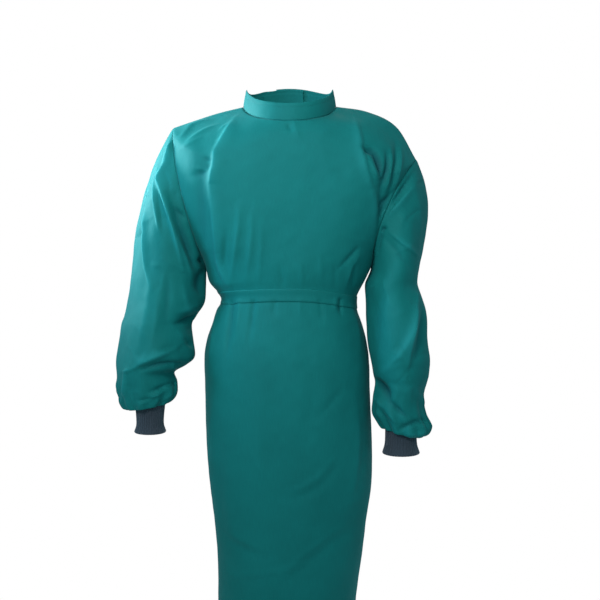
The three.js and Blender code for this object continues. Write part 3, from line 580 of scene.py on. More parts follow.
def panel_surface(face, across):
    """Points of the front (-1) or the back (1), at every row and at places across it from -1 to 1."""
    name = "front" if face < 0 else "back"
    yoke = columns_at(YOKE, "at", YOKE_AT)
    trunk = columns_at(TRUNK, "down", TRUNK_DOWN)
    centre = np.vstack(
        [
            points_of(0, yoke[name + "Y"], yoke[name + "Z"]),
            points_of(0, trunk[name], trunk["tilt"] * WAIST_RISE[name] - TRUNK_DOWN),
        ]
    )
    grid = np.zeros((len(centre), len(across), 3))
    for side, sign in SIGN.items():
        edge = np.vstack(
            [
                yoke_seam(YOKE_AT, side, face),
                points_of(trunk[side], SIDE_Y, trunk["tilt"] * WAIST_RISE[side] - TRUNK_DOWN),
            ]
        )
        arrive = np.vstack(
            [
                points_of(sign * yoke["out"], -face * yoke["back"], yoke["up"]),
                points_of(np.zeros(len(TRUNK_DOWN)), -face, 0),
            ]
        )
        reach = EDGE_REACH * np.linalg.norm(centre - edge, axis=1)
        second = points_of(edge[:, 0] * CENTRE_REACH, centre[:, 1], centre[:, 2])
        third = edge - arrive * reach[:, None]
        here = across < 0 if sign < 0 else across >= 0
        t = np.abs(across[here])[None, :, None]
        rest = 1 - t
        grid[:, here] = (
            rest**3 * centre[:, None]
            + 3 * rest**2 * t * second[:, None]
            + 3 * rest * t**2 * third[:, None]
            + t**3 * edge[:, None]
        )
    return eased(grid, across)


def eased(grid, across):
    """The grid with its edge's turns at shoulder tip and underarm drawn out softly across the cloth."""
    rows = np.arange(len(grid))
    near = sum(
        1 - smooth(EASE["full"] * EASE["rows"], EASE["rows"], np.abs(rows - row))
        for row in (SHOULDER_ROWS, FIRST_TRUNK)
    )
    weight = np.clip(near, 0, 1)[:, None] * smooth(*EASE["edge"], 1 - np.abs(across))[None, :]
    for _ in range(EASE["rounds"]):
        middle = (grid[:-2] + grid[2:]) / 2
        grid[1:-1] += EASE["rate"] * weight[1:-1, :, None] * (middle - grid[1:-1])
    return grid


def grid_normals(grid, closed):
    down = np.gradient(grid, axis=0)
    if closed:
        along = np.roll(grid, -1, axis=1) - np.roll(grid, 1, axis=1)
    else:
        along = np.gradient(grid, axis=1)
    return unit(np.cross(down, along))


def fold_depth(folds, x, z):
    """How far a table's folds move points that are seen at x and z."""
    total = np.zeros(x.shape)
    for fold in folds:
        start = np.array([fold["x0"], fold["z0"]], float)
        run = np.array([fold["x1"], fold["z1"]], float) - start
        length = np.hypot(*run)
        ahead = run / length
        along = ((x - start[0]) * ahead[0] + (z - start[1]) * ahead[1]) / length
        aside = (z - start[1]) * ahead[0] - (x - start[0]) * ahead[1]
        t = np.clip(along, 0, 1)
        aside = aside - fold["bend"] * 4 * t * (1 - t)
        past = (along - t) * length
        distance = np.hypot(aside, past)
        wide = fold["wide"] * (1 + fold["skew"] * np.sign(aside))
        soft = np.exp(-((distance / wide) ** 2))
        round_off = FOLD_ROUND * wide
        sharp = np.exp(-(np.hypot(distance, round_off) - round_off) / (FOLD_DECAY * wide))
        profile = soft + (sharp - soft) * fold["crisp"]
        halfway = np.sin(np.pi * np.clip(t, *FOLD_ENDS)) ** FOLD_FADE
        from_start = 1 - smooth(FOLD_HOLD, 1, t)
        strength = halfway + (from_start - halfway) * fold["root"]
        total += fold["deep"] * profile * strength
    return total


def small_creases(name):
    """Short creases of uneven length, depth and direction."""
    rows = []
    for group in SMALL_CREASES[name]:
        for _ in range(group["count"]):
            x = RNG.uniform(group["xMin"], group["xMax"])
            z = RNG.uniform(group["zMin"], group["zMax"])
            angle = math.radians(RNG.normal(group["lean"] * RNG.choice([-1, 1]), CREASE["turn"]))
            length = RNG.uniform(*CREASE["length"])
            deep = group["deep"] * RNG.uniform(*CREASE["share"]) * RNG.choice([-1, 1])
            ends = (x, z, x + length * math.cos(angle), z + length * math.sin(angle))
            bend = RNG.uniform(*CREASE["bend"])
            wide = RNG.uniform(*CREASE["wide"])
            rows.append((*ends, bend, wide, deep, CREASE["crisp"], 0, RNG.uniform(*CREASE["skew"])))
    return table(FOLD, *rows)


def ripple(points, length, seed):
    """A soft irregular wave of about one millimetre, from a few turned sines."""
    turn = np.random.default_rng(seed)
    total = np.zeros(points.shape[:-1])
    for _ in range(WAVE["count"]):
        direction = unit(turn.normal(size=3) * (1, 1, WAVE["upright"]))
        wave = 2 * np.pi / (length * turn.uniform(*WAVE["lengths"]))
        total += np.sin(points @ direction * wave + turn.uniform(*WAVE["phases"]))
    return total / WAVE["sum"]


def ripples(points, kind, seed):
    waves = enumerate(RIPPLES[kind])
    return sum(ripple(points, length, seed + k) * height for k, (length, height) in waves)


def edge_rise(distance):
    """Cloth swells a little beside a sewn edge, which leaves the seam as a groove."""
    return SEAM_RISE * (1 - np.exp(-((distance / SEAM_REACH) ** 2)))


def travel_along(grid, axis):
    steps = np.linalg.norm(np.diff(grid, axis=axis), axis=2)
    shape = list(steps.shape)
    shape[axis] = 1
    return np.concatenate([np.zeros(shape), np.cumsum(steps, axis=axis)], axis=axis)


def panel(face, across, folds, creases, seed):
    """A panel's outer points with its folds, and how far the folds move each point."""
    plain = panel_surface(face, across)
    normals = grid_normals(plain, False)
    x, z = plain[..., 0], plain[..., 2]
    seam = smooth(*PANEL_SEAM_CALM, 1 - np.abs(across))[None, :]
    waist = smooth(*WAIST_CALM, np.abs(z + WAIST_DOWN))
    folded = (fold_depth(folds, x, z) + fold_depth(creases, x, z) * waist) * seam
    depth = folded + ripples(plain, "panel", seed) * waist * seam
    across_mm = travel_along(plain, 1)
    to_seam = across_mm if across[0] in (-1, 1) else across_mm[:, -1:] - across_mm
    if face < 0:
        to_seam = np.minimum(across_mm, across_mm[:, -1:] - across_mm)
    depth += edge_rise(to_seam)
    return plain + normals * depth[..., None], folded


def sleeve_section(side, ring, angle):
    section = columns_at(SLEEVES[side], "ring", ring)
    sign = SIGN[side]
    many = np.cos(GATHERS["many"] * angle + GATHERS["uneven"] * np.sin(2 * angle))
    few = np.cos(GATHERS["few"] * angle + 1)
    gather = section["gather"] * (many + GATHERS["share"] * few)
    half_width = np.abs(section["outer"] - section["inner"]) / 2 + gather
    half_depth = (section["back"] - section["front"]) / 2 + gather
    sine = np.sin(angle)
    flattened = sine * (1 + SLEEVE_FLAT * (np.abs(sine) - 1))
    return points_of(
        (section["outer"] + section["inner"]) / 2 + sign * half_width * np.cos(angle),
        (section["front"] + section["back"]) / 2 + sign * half_depth * flattened,
        -section["down"] - section["dip"] * np.cos(angle),
    )


def sleeve_surface(side):
    """Rings from the armhole to the cuff seam."""
    sign = SIGN[side]
    steps = np.arange(2 * ARMHOLE_ROWS)
    angle = np.pi * steps / ARMHOLE_ROWS
    first_half = steps < ARMHOLE_ROWS
    yoke = 1 + np.where(first_half, steps, 2 * ARMHOLE_ROWS - steps) / ARMHOLE_ROWS
    loop = np.where(
        first_half[:, None], yoke_seam(yoke, side, sign), yoke_seam(yoke, side, -sign)
    )
    end = sleeve_section(side, 0, angle)
    length = np.linalg.norm(end - loop, axis=1)[:, None]
    towards_tip = (1 + np.cos(angle)) / 2
    towards_face = np.sin(angle) ** 2
    tip_out = ARMHOLES[side]["tipOut"] * towards_tip
    leave = points_of(
        sign * (tip_out + (LEAVE["faceOut"] - tip_out) * towards_face),
        sign * LEAVE["spread"] * np.sin(angle),
        -(LEAVE["tipFall"] + (LEAVE["faceFall"] - LEAVE["tipFall"]) * towards_face),
    )
    arrive = unit(sleeve_section(side, 0.5, angle) - end)
    fan = [hermite(loop, leave * length, end, arrive * length, t) for t in np.arange(FAN_RINGS) / FAN_RINGS]
    last = SLEEVES[side][-1]["ring"]
    tube = [sleeve_section(side, last * r / SLEEVE_RINGS, angle) for r in range(SLEEVE_RINGS + 1)]
    return np.array(fan + tube)


def sleeve(side, creases, seed):
    """A sleeve's outer points with its folds, and how far the folds move each point."""
    plain = sleeve_surface(side)
    normals = grid_normals(plain, True)
    x, z = plain[..., 0], plain[..., 2]
    facing = normals[..., 1]
    folded = np.zeros(x.shape)
    for face, towards in (("front", -facing), ("back", facing)):
        deep = fold_depth(SLEEVE_FOLDS[side][face], x, z) + fold_depth(creases[face], x, z)
        folded += deep * smooth(*FACING, towards)
    from_seam = travel_along(plain, 0)
    to_cuff = from_seam[-1:] - from_seam
    calm = smooth(*ARMHOLE_CALM, from_seam) * smooth(*CUFF_CALM, to_cuff)
    folded *= calm
    depth = folded + ripples(plain, "sleeve", seed) * calm
    depth += edge_rise(from_seam)
    return plain + normals * depth[..., None], folded


# Meshes

def make_mesh(name, vertices, faces, uvs, material):
    mesh = bpy.data.meshes.new(name)
    mesh.from_pydata((np.asarray(vertices) * MM).tolist(), [], np.asarray(faces).tolist())
    if uvs is not None:
        layer = mesh.uv_layers.new(name="cloth")
        layer.data.foreach_set("uv", (np.asarray(uvs) * MM).astype(np.float32).ravel())
    mesh.polygons.foreach_set("use_smooth", np.ones(len(mesh.polygons), bool))
    mesh.materials.append(material)
    piece = bpy.data.objects.new(name, mesh)
    bpy.context.scene.collection.objects.link(piece)
    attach(piece, "root")
    return piece


def cloth(name, grid, closed, thick, material, folded=None):
    """A thin closed wall under a grid of outer points, which notes how deep its folds are for painted shade
    in their hollows and a painted highlight on their ridges.
    """
    rows, count = grid.shape[:2]
    steps = count if closed else count - 1
    i, j = (a.ravel() for a in np.meshgrid(np.arange(rows - 1), np.arange(steps), indexing="ij"))
    after = (j + 1) % count
    faces = np.stack([i * count + j, (i + 1) * count + j, (i + 1) * count + after, i * count + after], -1)
    wrapped = np.concatenate([grid, grid[:, :1]], axis=1) if closed else grid
    v = travel_along(wrapped, 0).mean(axis=1, keepdims=True) + np.zeros(wrapped.shape[:2])
    u = travel_along(wrapped, 1)
    u = u - u[:, -1:] / 2
    uv = np.stack([u, v], -1)
    corners = np.stack([uv[i, j], uv[i + 1, j], uv[i + 1, j + 1], uv[i, j + 1]], 1)
    piece = make_mesh(name, grid.reshape(-1, 3), faces, corners.reshape(-1, 2), material)
    # Fold depth kept on the mesh to drive painted shade in the hollows and a painted highlight on the ridges
    if folded is not None:
        painted_light = piece.data.attributes.new("fold", "FLOAT", "POINT")
        painted_light.data.foreach_set("value", np.clip(folded / FULL_SHADE_FOLD, -1, 1).astype(np.float32).ravel())
    wall = piece.modifiers.new("wall", "SOLIDIFY")
    wall.thickness = thick * MM
    wall.offset = -1
    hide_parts(name.replace("_cloth", ""))
    return piece


def along_grid(grid, normals, rows, columns):
    """Points and normals at fractional rows and columns of a grid."""
    rows, columns = np.broadcast_arrays(np.asarray(rows, float), np.asarray(columns, float))
    i = np.clip(rows.astype(int), 0, grid.shape[0] - 2)
    j = np.clip(columns.astype(int), 0, grid.shape[1] - 2)
    a, b = (rows - i)[..., None], (columns - j)[..., None]

    def read(values):
        upper = values[i, j] * (1 - b) + values[i, j + 1] * b
        lower = values[i + 1, j] * (1 - b) + values[i + 1, j + 1] * b
        return upper * (1 - a) + lower * a

    return read(grid), unit(read(normals))


def stitches(name, lines, material, pitch=3.4, length=2.5, radius=0.32):
    """Short raised stitches along lines, in one mesh."""
    all_corners = []
    for points, normals in lines:
        travel = np.concatenate([[0], np.cumsum(np.linalg.norm(np.diff(points, axis=0), axis=1))])
        places = np.arange(pitch / 2, travel[-1], pitch)

        def at(values):
            return np.stack([np.interp(places, travel, values[:, k]) for k in range(3)], -1)

        middle, up = at(points), unit(at(normals))
        ahead = unit(at(np.gradient(points, axis=0)))
        aside = unit(np.cross(up, ahead)) * radius
        lift = up * radius
        reach = ahead * length / 2
        offsets = (-reach, reach, aside, lift, -aside, -lift)
        all_corners.append(np.stack([middle + offset for offset in offsets], 1))
    corners = np.concatenate(all_corners)
    ring = (2, 3, 4, 5)
    single = []
    for k in range(4):
        here, there = ring[k], ring[(k + 1) % 4]
        single += [(0, there, here), (1, here, there)]
    faces = (np.arange(len(corners))[:, None, None] * 6 + np.array(single)).reshape(-1, 3)
    return make_mesh(name, corners.reshape(-1, 3), faces, None, material)


# Materials

def new_material(name):
    material = bpy.data.materials.new(name)
    material.use_nodes = True
    nodes, links = material.node_tree.nodes, material.node_tree.links
    nodes.clear()
    output = nodes.new("ShaderNodeOutputMaterial")
    shader = nodes.new("ShaderNodeBsdfPrincipled")
    links.new(shader.outputs["BSDF"], output.inputs["Surface"])
    return material, nodes, links, shader


WAVE_TEXTURE_SCALE = 20


def wave_node(nodes, links, uv, direction, pitch_mm):
    wave = nodes.new("ShaderNodeTexWave")
    wave.bands_direction = direction
    wave.inputs["Scale"].default_value = 2 * math.pi / (WAVE_TEXTURE_SCALE * pitch_mm * MM)
    wave.inputs["Distortion"].default_value = 0.6
    wave.inputs["Detail"].default_value = 1
    links.new(uv.outputs["UV"], wave.inputs["Vector"])
    return wave.outputs["Fac"]


def noise_node(nodes, links, vector, scale, detail):
    noise = nodes.new("ShaderNodeTexNoise")
    noise.inputs["Scale"].default_value = scale
    noise.inputs["Detail"].default_value = detail
    links.new(vector, noise.inputs["Vector"])
    return noise.outputs["Fac"]


def math_node(nodes, links, operation, first, second):
    node = nodes.new("ShaderNodeMath")
    node.operation = operation
    links.new(first, node.inputs[0])
    links.new(second, node.inputs[1])
    return node.outputs["Value"]


def bump_node(nodes, links, height, strength, distance):
    bump = nodes.new("ShaderNodeBump")
    bump.inputs["Strength"].default_value = strength
    bump.inputs["Distance"].default_value = distance
    links.new(height, bump.inputs["Height"])
    return bump


def mixed(nodes, links, factor, low, high):
    """A colour between two others, each of them a plain colour or a socket."""
    mix = nodes.new("ShaderNodeMix")
    mix.data_type = "RGBA"
    links.new(factor, mix.inputs[0])
    for socket, colour in ((mix.inputs[6], low), (mix.inputs[7], high)):
        if isinstance(colour, tuple):
            socket.default_value = (*colour, 1)
        else:
            links.new(colour, socket)
    return mix.outputs[2]


def between(nodes, links, value, start, end, most=1):
    """A factor that goes from 0 at start to most at end."""
    span = nodes.new("ShaderNodeMapRange")
    span.inputs["From Min"].default_value = start
    span.inputs["From Max"].default_value = end
    span.inputs["To Max"].default_value = most
    links.new(value, span.inputs["Value"])
    return span.outputs["Result"]


def cloth_material(name, dark, light, thread_mm, sheen):
    """Plain woven cotton: two sets of threads, slubs along the warp and slow random changes of tone, with
    painted shade in the fold hollows and a painted highlight on the fold ridges.
    """
    material, nodes, links, shader = new_material(name)
    uv = nodes.new("ShaderNodeTexCoord")
    slow = noise_node(nodes, links, uv.outputs["Object"], 9, 5)
    slub_map = nodes.new("ShaderNodeMapping")
    slub_map.inputs["Scale"].default_value = (900, 40, 1)
    links.new(uv.outputs["UV"], slub_map.inputs["Vector"])
    slub = noise_node(nodes, links, slub_map.outputs["Vector"], 1, 2)
    both = nodes.new("ShaderNodeMix")
    both.inputs[0].default_value = 0.45
    links.new(slow, both.inputs[2])
    links.new(slub, both.inputs[3])
    shade = between(nodes, links, both.outputs[0], 0.32, 0.68)
    colour = mixed(nodes, links, shade, dark, light)
    # Painted shade: the fold hollows are darkened towards navy; painted highlight: the fold ridges are
    # lightened, both read from the fold attribute
    fold = nodes.new("ShaderNodeAttribute")
    fold.attribute_name = "fold"
    for painted_light, span in ((PAINTED_CREASE_SHADE, CREASE_SHADE_RANGE), (PAINTED_RIDGE_HIGHLIGHT, RIDGE_HIGHLIGHT_RANGE)):
        colour = mixed(nodes, links, between(nodes, links, fold.outputs["Fac"], **span), colour, painted_light)
    links.new(colour, shader.inputs["Base Color"])
    warp = wave_node(nodes, links, uv, "X", thread_mm)
    weft = wave_node(nodes, links, uv, "Y", thread_mm)
    weave = bump_node(nodes, links, math_node(nodes, links, "MAXIMUM", warp, weft), 0.25, 0.00012)
    crumple = bump_node(nodes, links, noise_node(nodes, links, uv.outputs["Object"], 55, 4), 0.3, 0.0016)
    links.new(weave.outputs["Normal"], crumple.inputs["Normal"])
    links.new(crumple.outputs["Normal"], shader.inputs["Normal"])
    shader.inputs["Roughness"].default_value = 0.72
    shader.inputs["Specular IOR Level"].default_value = 0.14
    shader.inputs["Sheen Weight"].default_value = sheen
    shader.inputs["Sheen Roughness"].default_value = 0.4
    shader.inputs["Sheen Tint"].default_value = (0.45, 0.85, 0.9, 1)
    return material


def knit_material(name, dark, light):
    """Rib knit: rows of loops across the ribs, darker down in between."""
    material, nodes, links, shader = new_material(name)
    uv = nodes.new("ShaderNodeTexCoord")
    loops = wave_node(nodes, links, uv, "Y", 1.1)
    wales = wave_node(nodes, links, uv, "X", 0.9)
    grain = noise_node(nodes, links, uv.outputs["Object"], 700, 3)
    stitch = math_node(nodes, links, "MULTIPLY", loops, wales)
    bump = bump_node(nodes, links, math_node(nodes, links, "ADD", stitch, grain), 0.5, 0.0003)
    links.new(bump.outputs["Normal"], shader.inputs["Normal"])
    links.new(mixed(nodes, links, grain, dark, light), shader.inputs["Base Color"])
    shader.inputs["Roughness"].default_value = 0.9
    shader.inputs["Specular IOR Level"].default_value = 0.15
    shader.inputs["Sheen Weight"].default_value = 0.3
    shader.inputs["Sheen Tint"].default_value = (0.6, 0.7, 0.85, 1)
    return material


# Painted shade in the fold hollows and painted highlight on the fold ridges: where each starts and ends on
# the fold attribute, how far it takes over the cloth colour, and its colour
CREASE_SHADE_RANGE = {"start": -0.16, "end": -1, "most": 0.6}
RIDGE_HIGHLIGHT_RANGE = {"start": 0.12, "end": 1, "most": 0.5}
PAINTED_CREASE_SHADE = (0.0012, 0.022, 0.042)
PAINTED_RIDGE_HIGHLIGHT = (0.022, 0.3, 0.31)
TEAL = cloth_material(
    "teal_cotton", dark=(0.0014, 0.118, 0.112), light=(0.0024, 0.15, 0.142), thread_mm=0.55, sheen=0.06
)
TRIM = cloth_material(
    "teal_cotton_trim", dark=(0.0014, 0.114, 0.108), light=(0.0024, 0.145, 0.137), thread_mm=0.55, sheen=0.06
)
KNIT = knit_material("slate_rib_knit", dark=(0.022, 0.026, 0.034), light=(0.05, 0.061, 0.078))
THREAD = cloth_material(
    "teal_thread", dark=(0.005, 0.115, 0.104), light=(0.007, 0.14, 0.126), thread_mm=0.3, sheen=0.1
)

# Trunk

front_creases = small_creases("front")
back_creases = small_creases("back")
FRONT_ACROSS = np.linspace(-1, 1, FRONT_COLUMNS + 1)
LEFT_ACROSS = np.linspace(1, -LAP, BACK_COLUMNS + 1)
RIGHT_ACROSS = np.linspace(LAP, -1, BACK_COLUMNS + 1)

front, front_folded = panel(-1, FRONT_ACROSS, FRONT_FOLDS, front_creases, SEEDS["front"])
back_left, left_folded = panel(1, LEFT_ACROSS, BACK_FOLDS, back_creases, SEEDS["back"])
back_right_flat, right_folded = panel(1, RIGHT_ACROSS, BACK_FOLDS, back_creases, SEEDS["back"])
tuck = LAP_DEPTH * smooth(LAP_RAMP[0] * LAP, LAP_RAMP[1] * LAP, RIGHT_ACROSS)
back_right = back_right_flat - grid_normals(back_right_flat, False) * tuck[None, :, None]

front_piece = cloth("front_panel_cloth", front, False, WALL["cloth"], TEAL, folded=front_folded)
left_piece = cloth("back_panel_left_cloth", back_left, False, WALL["cloth"], TEAL, folded=left_folded)
right_piece = cloth("back_panel_right_cloth", back_right, False, WALL["cloth"], TEAL, folded=right_folded)

# Sleeves

for number, side in enumerate(SIGN):
    creases = {face: small_creases(side) for face in ("front", "back")}
    grid, folded = sleeve(side, creases, SEEDS["sleeve"] + number)
    cloth(f"sleeve_{side}_cloth", grid, True, WALL["cloth"], TEAL, folded=folded)

# Neckband

neck_edge = np.concatenate([back_right[0], front[0][1:], back_left[0][1:]])
neck_run = np.gradient(neck_edge, axis=0)
neck_out = unit(points_of(neck_run[:, 1], -neck_run[:, 0], 0))
band_rise = np.linspace(1, 0, BAND_ROWS)
swell = BAND_SWELL * np.sin(np.pi * band_rise) + BAND_ROLL * smooth(*BAND_ROLL_FROM, band_rise)
band_offset = -BAND_LEAN * band_rise + swell
neckband = (
    neck_edge[None]
    + points_of(0, 0, BAND_HEIGHT * band_rise + SEAM_GAP)[:, None]
    + neck_out[None] * band_offset[:, None, None]
)
neckband_piece = cloth("neckband_cloth", neckband, False, WALL["band"], TRIM)

# Belt, knot and free ends

first_belt, last_belt = round(float(row_at(BELT_TOP))), round(float(row_at(BELT_BOTTOM)))
past_lap = int(2 * LAP * BACK_COLUMNS / (1 + LAP)) + 1
under_belt = np.concatenate(
    [front, back_left[:, 1:], back_right_flat[:, past_lap:-1]], axis=1
)[first_belt : last_belt + 1]
belt_place = np.linspace(-1, 1, len(under_belt))
crown = BELT_LIFT + BELT_CROWN * (1 - np.abs(belt_place) ** EDGE_POWER)
belt_normals = grid_normals(under_belt, True)
steady = np.mean(belt_normals, axis=0, keepdims=True)
belt = under_belt + unit(steady) * crown[:, None, None]
belt_piece = cloth("belt_cloth", belt, True, WALL["belt"], TRIM)

back_normals = grid_normals(back_left, False)


def on_back(down, across):
    return along_grid(back_left, back_normals, row_at(down), (1 - across) * BACK_COLUMNS / (1 + LAP))


steps = np.linspace(0, 1, KNOT_STEPS)
knot_down = KNOT["top"] + (KNOT["bottom"] - KNOT["top"]) * steps
knot_across = KNOT["left"] + (KNOT["right"] - KNOT["left"]) * steps
knot_base, knot_out = on_back(knot_down[:, None], knot_across[None, :])
knot_s, knot_t = np.meshgrid(2 * steps - 1, 2 * steps - 1, indexing="xy")
dome = np.sqrt(np.clip(1 - knot_s**4, 0, 1)) * np.sqrt(np.clip(1 - knot_t**4, 0, 1))
wrap = np.exp(-(((knot_s - KNOT["wrapLean"] * knot_t) / KNOT["wrapWidth"]) ** EDGE_POWER))
beside_wrap = KNOT["wrinkle"] * np.cos(9 * (knot_s + 0.5 * knot_t)) * (1 - wrap)
on_wrap = KNOT["wrapWrinkle"] * np.cos(8 * knot_t + knot_s) * wrap
knot_height = KNOT["height"] + KNOT["wrapHeight"] * wrap + beside_wrap + on_wrap
knot = knot_base + knot_out * (KNOT["lift"] + dome * knot_height)[..., None]
knot_piece = cloth("belt_knot_cloth", knot, False, WALL["knot"], TRIM)

tail_grids = {}
for side, tail in TAILS.items():
    down = np.linspace(tail["down"][0], tail["down"][-1], TAIL_ROWS)
    middle = np.interp(down, tail["down"], tail["across"])
    share = np.linspace(0.5, -0.5, TAIL_COLUMNS)
    base, out = on_back(down[:, None], middle[:, None] + share[None, :] * TAIL_WIDTH)
    travel = (down - down[0]) / (down[-1] - down[0])
    twist = TAIL_TWIST["high"] * np.sin(TAIL_TWIST["turns"] * travel)[:, None] * share[None, :]
    wave = TAIL_WAVE["high"] * (1 - np.cos(TAIL_WAVE["turns"] * travel))[:, None]
    edge = TAIL_CROWN * (1 - np.abs(2 * share) ** EDGE_POWER)[None, :]
    tail_grids[side] = base + out * (TAIL_LIFT + twist + wave + edge)[..., None]
    cloth(f"belt_tail_{side}_cloth", tail_grids[side], False, WALL["tail"], TRIM)

# Cuffs

for side, cuff in CUFFS.items():
    down = np.linspace(cuff["sections"][0]["down"], cuff["sections"][-1]["down"], CUFF_ROWS)
    section = columns_at(cuff["sections"], "down", down)
    angle = np.linspace(0, 2 * np.pi, RIB_COUNT * RIB_POINTS, endpoint=False)
    rib = RIB_DEPTH * (0.5 - 0.5 * np.cos(RIB_COUNT * angle)) ** RIB_POWER
    inset = section["ribbed"][:, None] * rib[None]
    lip = LIP_DEPTH * smooth(down[-1] - LIP_HEIGHT, down[-1], down)[:, None] ** 2
    slack = CUFF_SLACK * np.sin(3 * angle + CUFF_LEAN * down[:, None])
    grid = points_of(
        cuff["x"] - (section["wide"][:, None] - inset - lip + slack) * np.cos(angle),
        cuff["y"] - (section["deep"][:, None] - inset - lip + slack) * np.sin(angle),
        -down[:, None],
    )
    cloth(f"cuff_{side}_cloth", grid, True, WALL["cuff"], KNIT)

# Sewing

HEM_FOLD = 20
ARMHOLE_INSET = 5
SIDE_INSET = 6
OPENING_INSET = 14
BAND_STITCH = (0.25, 0.93)
BELT_INSET = 1.3
TAIL_INSET = 1.2
TAIL_END_INSET = 2.6
LINE_POINTS = {"front_hem": 400, "back_hem": 260, "band": 600, "belt": 900, "tail": 200, "tail_end": 40}

front_normals = grid_normals(front, False)
right_normals = grid_normals(back_right, False)


def column_line(grid, normals, first, last, inset_mm, from_start):
    """A line down a panel, a fixed distance in from one of its sides."""
    rows = np.arange(first, last + 1)
    travel = travel_along(grid, 1)[rows]
    if not from_start:
        travel = travel[:, -1:] - travel
    numbers = np.arange(grid.shape[1])
    if not from_start:
        travel, numbers = travel[:, ::-1], numbers[::-1]
    columns = np.array([np.interp(inset_mm, row, numbers) for row in travel])
    return along_grid(grid, normals, rows, columns)


def row_line(grid, normals, row, count):
    return along_grid(grid, normals, row, np.linspace(0, grid.shape[1] - 1, count))


last_row = len(front) - 1
hem_row = float(row_at(HEM - HEM_FOLD))
sewing = [
    row_line(front, front_normals, hem_row, LINE_POINTS["front_hem"]),
    row_line(back_left, back_normals, hem_row, LINE_POINTS["back_hem"]),
    row_line(back_right, right_normals, hem_row, LINE_POINTS["back_hem"]),
    column_line(front, front_normals, SHOULDER_ROWS, FIRST_TRUNK, ARMHOLE_INSET, True),
    column_line(front, front_normals, SHOULDER_ROWS, FIRST_TRUNK, ARMHOLE_INSET, False),
    column_line(back_left, back_normals, 0, FIRST_TRUNK, ARMHOLE_INSET, True),
    column_line(back_right, right_normals, 0, FIRST_TRUNK, ARMHOLE_INSET, False),
    column_line(back_left, back_normals, FIRST_TRUNK, last_row, SIDE_INSET, True),
    column_line(back_right, right_normals, FIRST_TRUNK, last_row, SIDE_INSET, False),
    column_line(back_left, back_normals, 0, last_row, OPENING_INSET, False),
    column_line(back_right, right_normals, 0, last_row, OPENING_INSET, True),
]
stitches("panel_stitches", sewing, THREAD)

band_normals = grid_normals(neckband, False)
belt_open = np.concatenate([belt, belt[:, :1]], axis=1)
belt_open_normals = grid_normals(belt_open, False)
trim_lines = [
    row_line(neckband, band_normals, place * (BAND_ROWS - 1), LINE_POINTS["band"]) for place in BAND_STITCH
] + [
    row_line(belt_open, belt_open_normals, BELT_INSET, LINE_POINTS["belt"]),
    row_line(belt_open, belt_open_normals, len(belt) - 1 - BELT_INSET, LINE_POINTS["belt"]),
]
for side, grid in tail_grids.items():
    normals = grid_normals(grid, False)
    rows = np.linspace(2, len(grid) - 3, LINE_POINTS["tail"])
    sides = (TAIL_INSET, TAIL_COLUMNS - 1 - TAIL_INSET)
    trim_lines += [along_grid(grid, normals, rows, np.full(len(rows), column)) for column in sides]
    columns = np.linspace(*sides, LINE_POINTS["tail_end"])
    trim_lines.append(along_grid(grid, normals, len(grid) - TAIL_END_INSET, columns))
stitches("trim_stitches", trim_lines, THREAD, pitch=3.0, length=2.2, radius=0.28)

# Light and camera

world = bpy.data.worlds.new("white_room")
bpy.context.scene.world = world
world.use_nodes = True
room = world.node_tree.nodes
room.clear()
fill = room.new("ShaderNodeBackground")
fill.inputs["Color"].default_value = (0.5, 0.9, 1, 1)
fill.inputs["Strength"].default_value = 0.48
paper = room.new("ShaderNodeBackground")
paper.inputs["Color"].default_value = (1, 1, 1, 1)
ray = room.new("ShaderNodeLightPath")
choice = room.new("ShaderNodeMixShader")
out = room.new("ShaderNodeOutputWorld")
world.node_tree.links.new(ray.outputs["Is Camera Ray"], choice.inputs[0])
world.node_tree.links.new(fill.outputs[0], choice.inputs[1])
world.node_tree.links.new(paper.outputs[0], choice.inputs[2])
world.node_tree.links.new(choice.outputs[0], out.inputs[0])

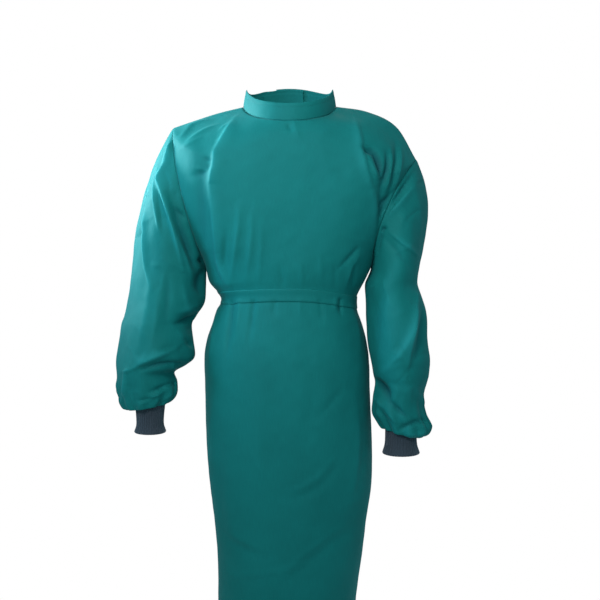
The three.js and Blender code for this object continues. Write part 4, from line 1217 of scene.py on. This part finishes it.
FLOOR_DROP = 1.45
FLOOR_SIDES = 96
floor_mesh = bpy.data.meshes.new("floor")
rim = np.linspace(0, 2 * np.pi, FLOOR_SIDES, endpoint=False)
floor_points = points_of(np.cos(rim), np.sin(rim), -FLOOR_DROP)
floor_mesh.from_pydata(floor_points.tolist(), [], [list(range(FLOOR_SIDES))])
floor_look, _, _, floor_shader = new_material("pale_floor")
floor_shader.inputs["Base Color"].default_value = (0.86, 0.87, 0.88, 1)
floor_shader.inputs["Roughness"].default_value = 0.7
floor_mesh.materials.append(floor_look)
floor = bpy.data.objects.new("floor", floor_mesh)
bpy.context.scene.collection.objects.link(floor)


# Places in metres, power in watts, spread in degrees
LIGHTS = table(
    "name place aim size power colour shine spread",
    ("window", (-1.7, 0.6, 0.25), (-0.25, 0, -0.1), (0.5, 0.35), 3.4, (0.6, 0.92, 1.0), 1, 28),
    ("sky", (-1.9, -0.4, 0.45), (-0.25, 0, -0.15), (0.8, 0.4), 1.9, (0.35, 0.72, 1.0), 1, 32),
    ("room", (-0.7, -1.7, 0.55), (0, 0, -0.12), (0.5, 0.5), 4.2, (1.0, 0.97, 1.0), 0.3, 75),
    ("top", (-0.2, -0.9, 1.0), (0, 0, -0.3), (0.7, 0.7), 5, (1.0, 1.0, 1.0), 0.3, 180),
    ("right", (0.8, -1.8, 0.2), (0, 0, -0.3), (0.6, 0.6), 0.8, (0.8, 1.0, 1.0), 0.3, 75),
    ("back_room", (0.1, 2.6, 0.9), (0, 0, -0.5), (1.4, 1.4), 30, (1.0, 0.99, 0.97), 0.3, 180),
)
for light in LIGHTS:
    lamp = bpy.data.lights.new(light["name"], "AREA")
    lamp.shape = "RECTANGLE"
    lamp.size, lamp.size_y = light["size"]
    lamp.energy = light["power"]
    lamp.color = light["colour"]
    lamp.specular_factor = light["shine"]
    lamp.spread = math.radians(light["spread"])
    stand = bpy.data.objects.new(light["name"], lamp)
    bpy.context.scene.collection.objects.link(stand)
    stand.location = light["place"]
    towards = np.array(light["aim"]) - np.array(light["place"])
    stand.rotation_euler = (
        math.atan2(math.hypot(towards[0], towards[1]), -towards[2]),
        0,
        math.atan2(-towards[0], towards[1]),
    )

camera = bpy.data.cameras.new("photo_view")
camera.sensor_width = SENSOR
camera.lens = LENS
view = bpy.data.objects.new("photo_view", camera)
bpy.context.scene.collection.objects.link(view)
view.location = np.array(CAMERA_PLACE) * MM
view.rotation_euler = (math.radians(90 - CAMERA_TILT), 0, 0)
bpy.context.scene.camera = view
bpy.context.scene.view_settings.view_transform = "Standard"
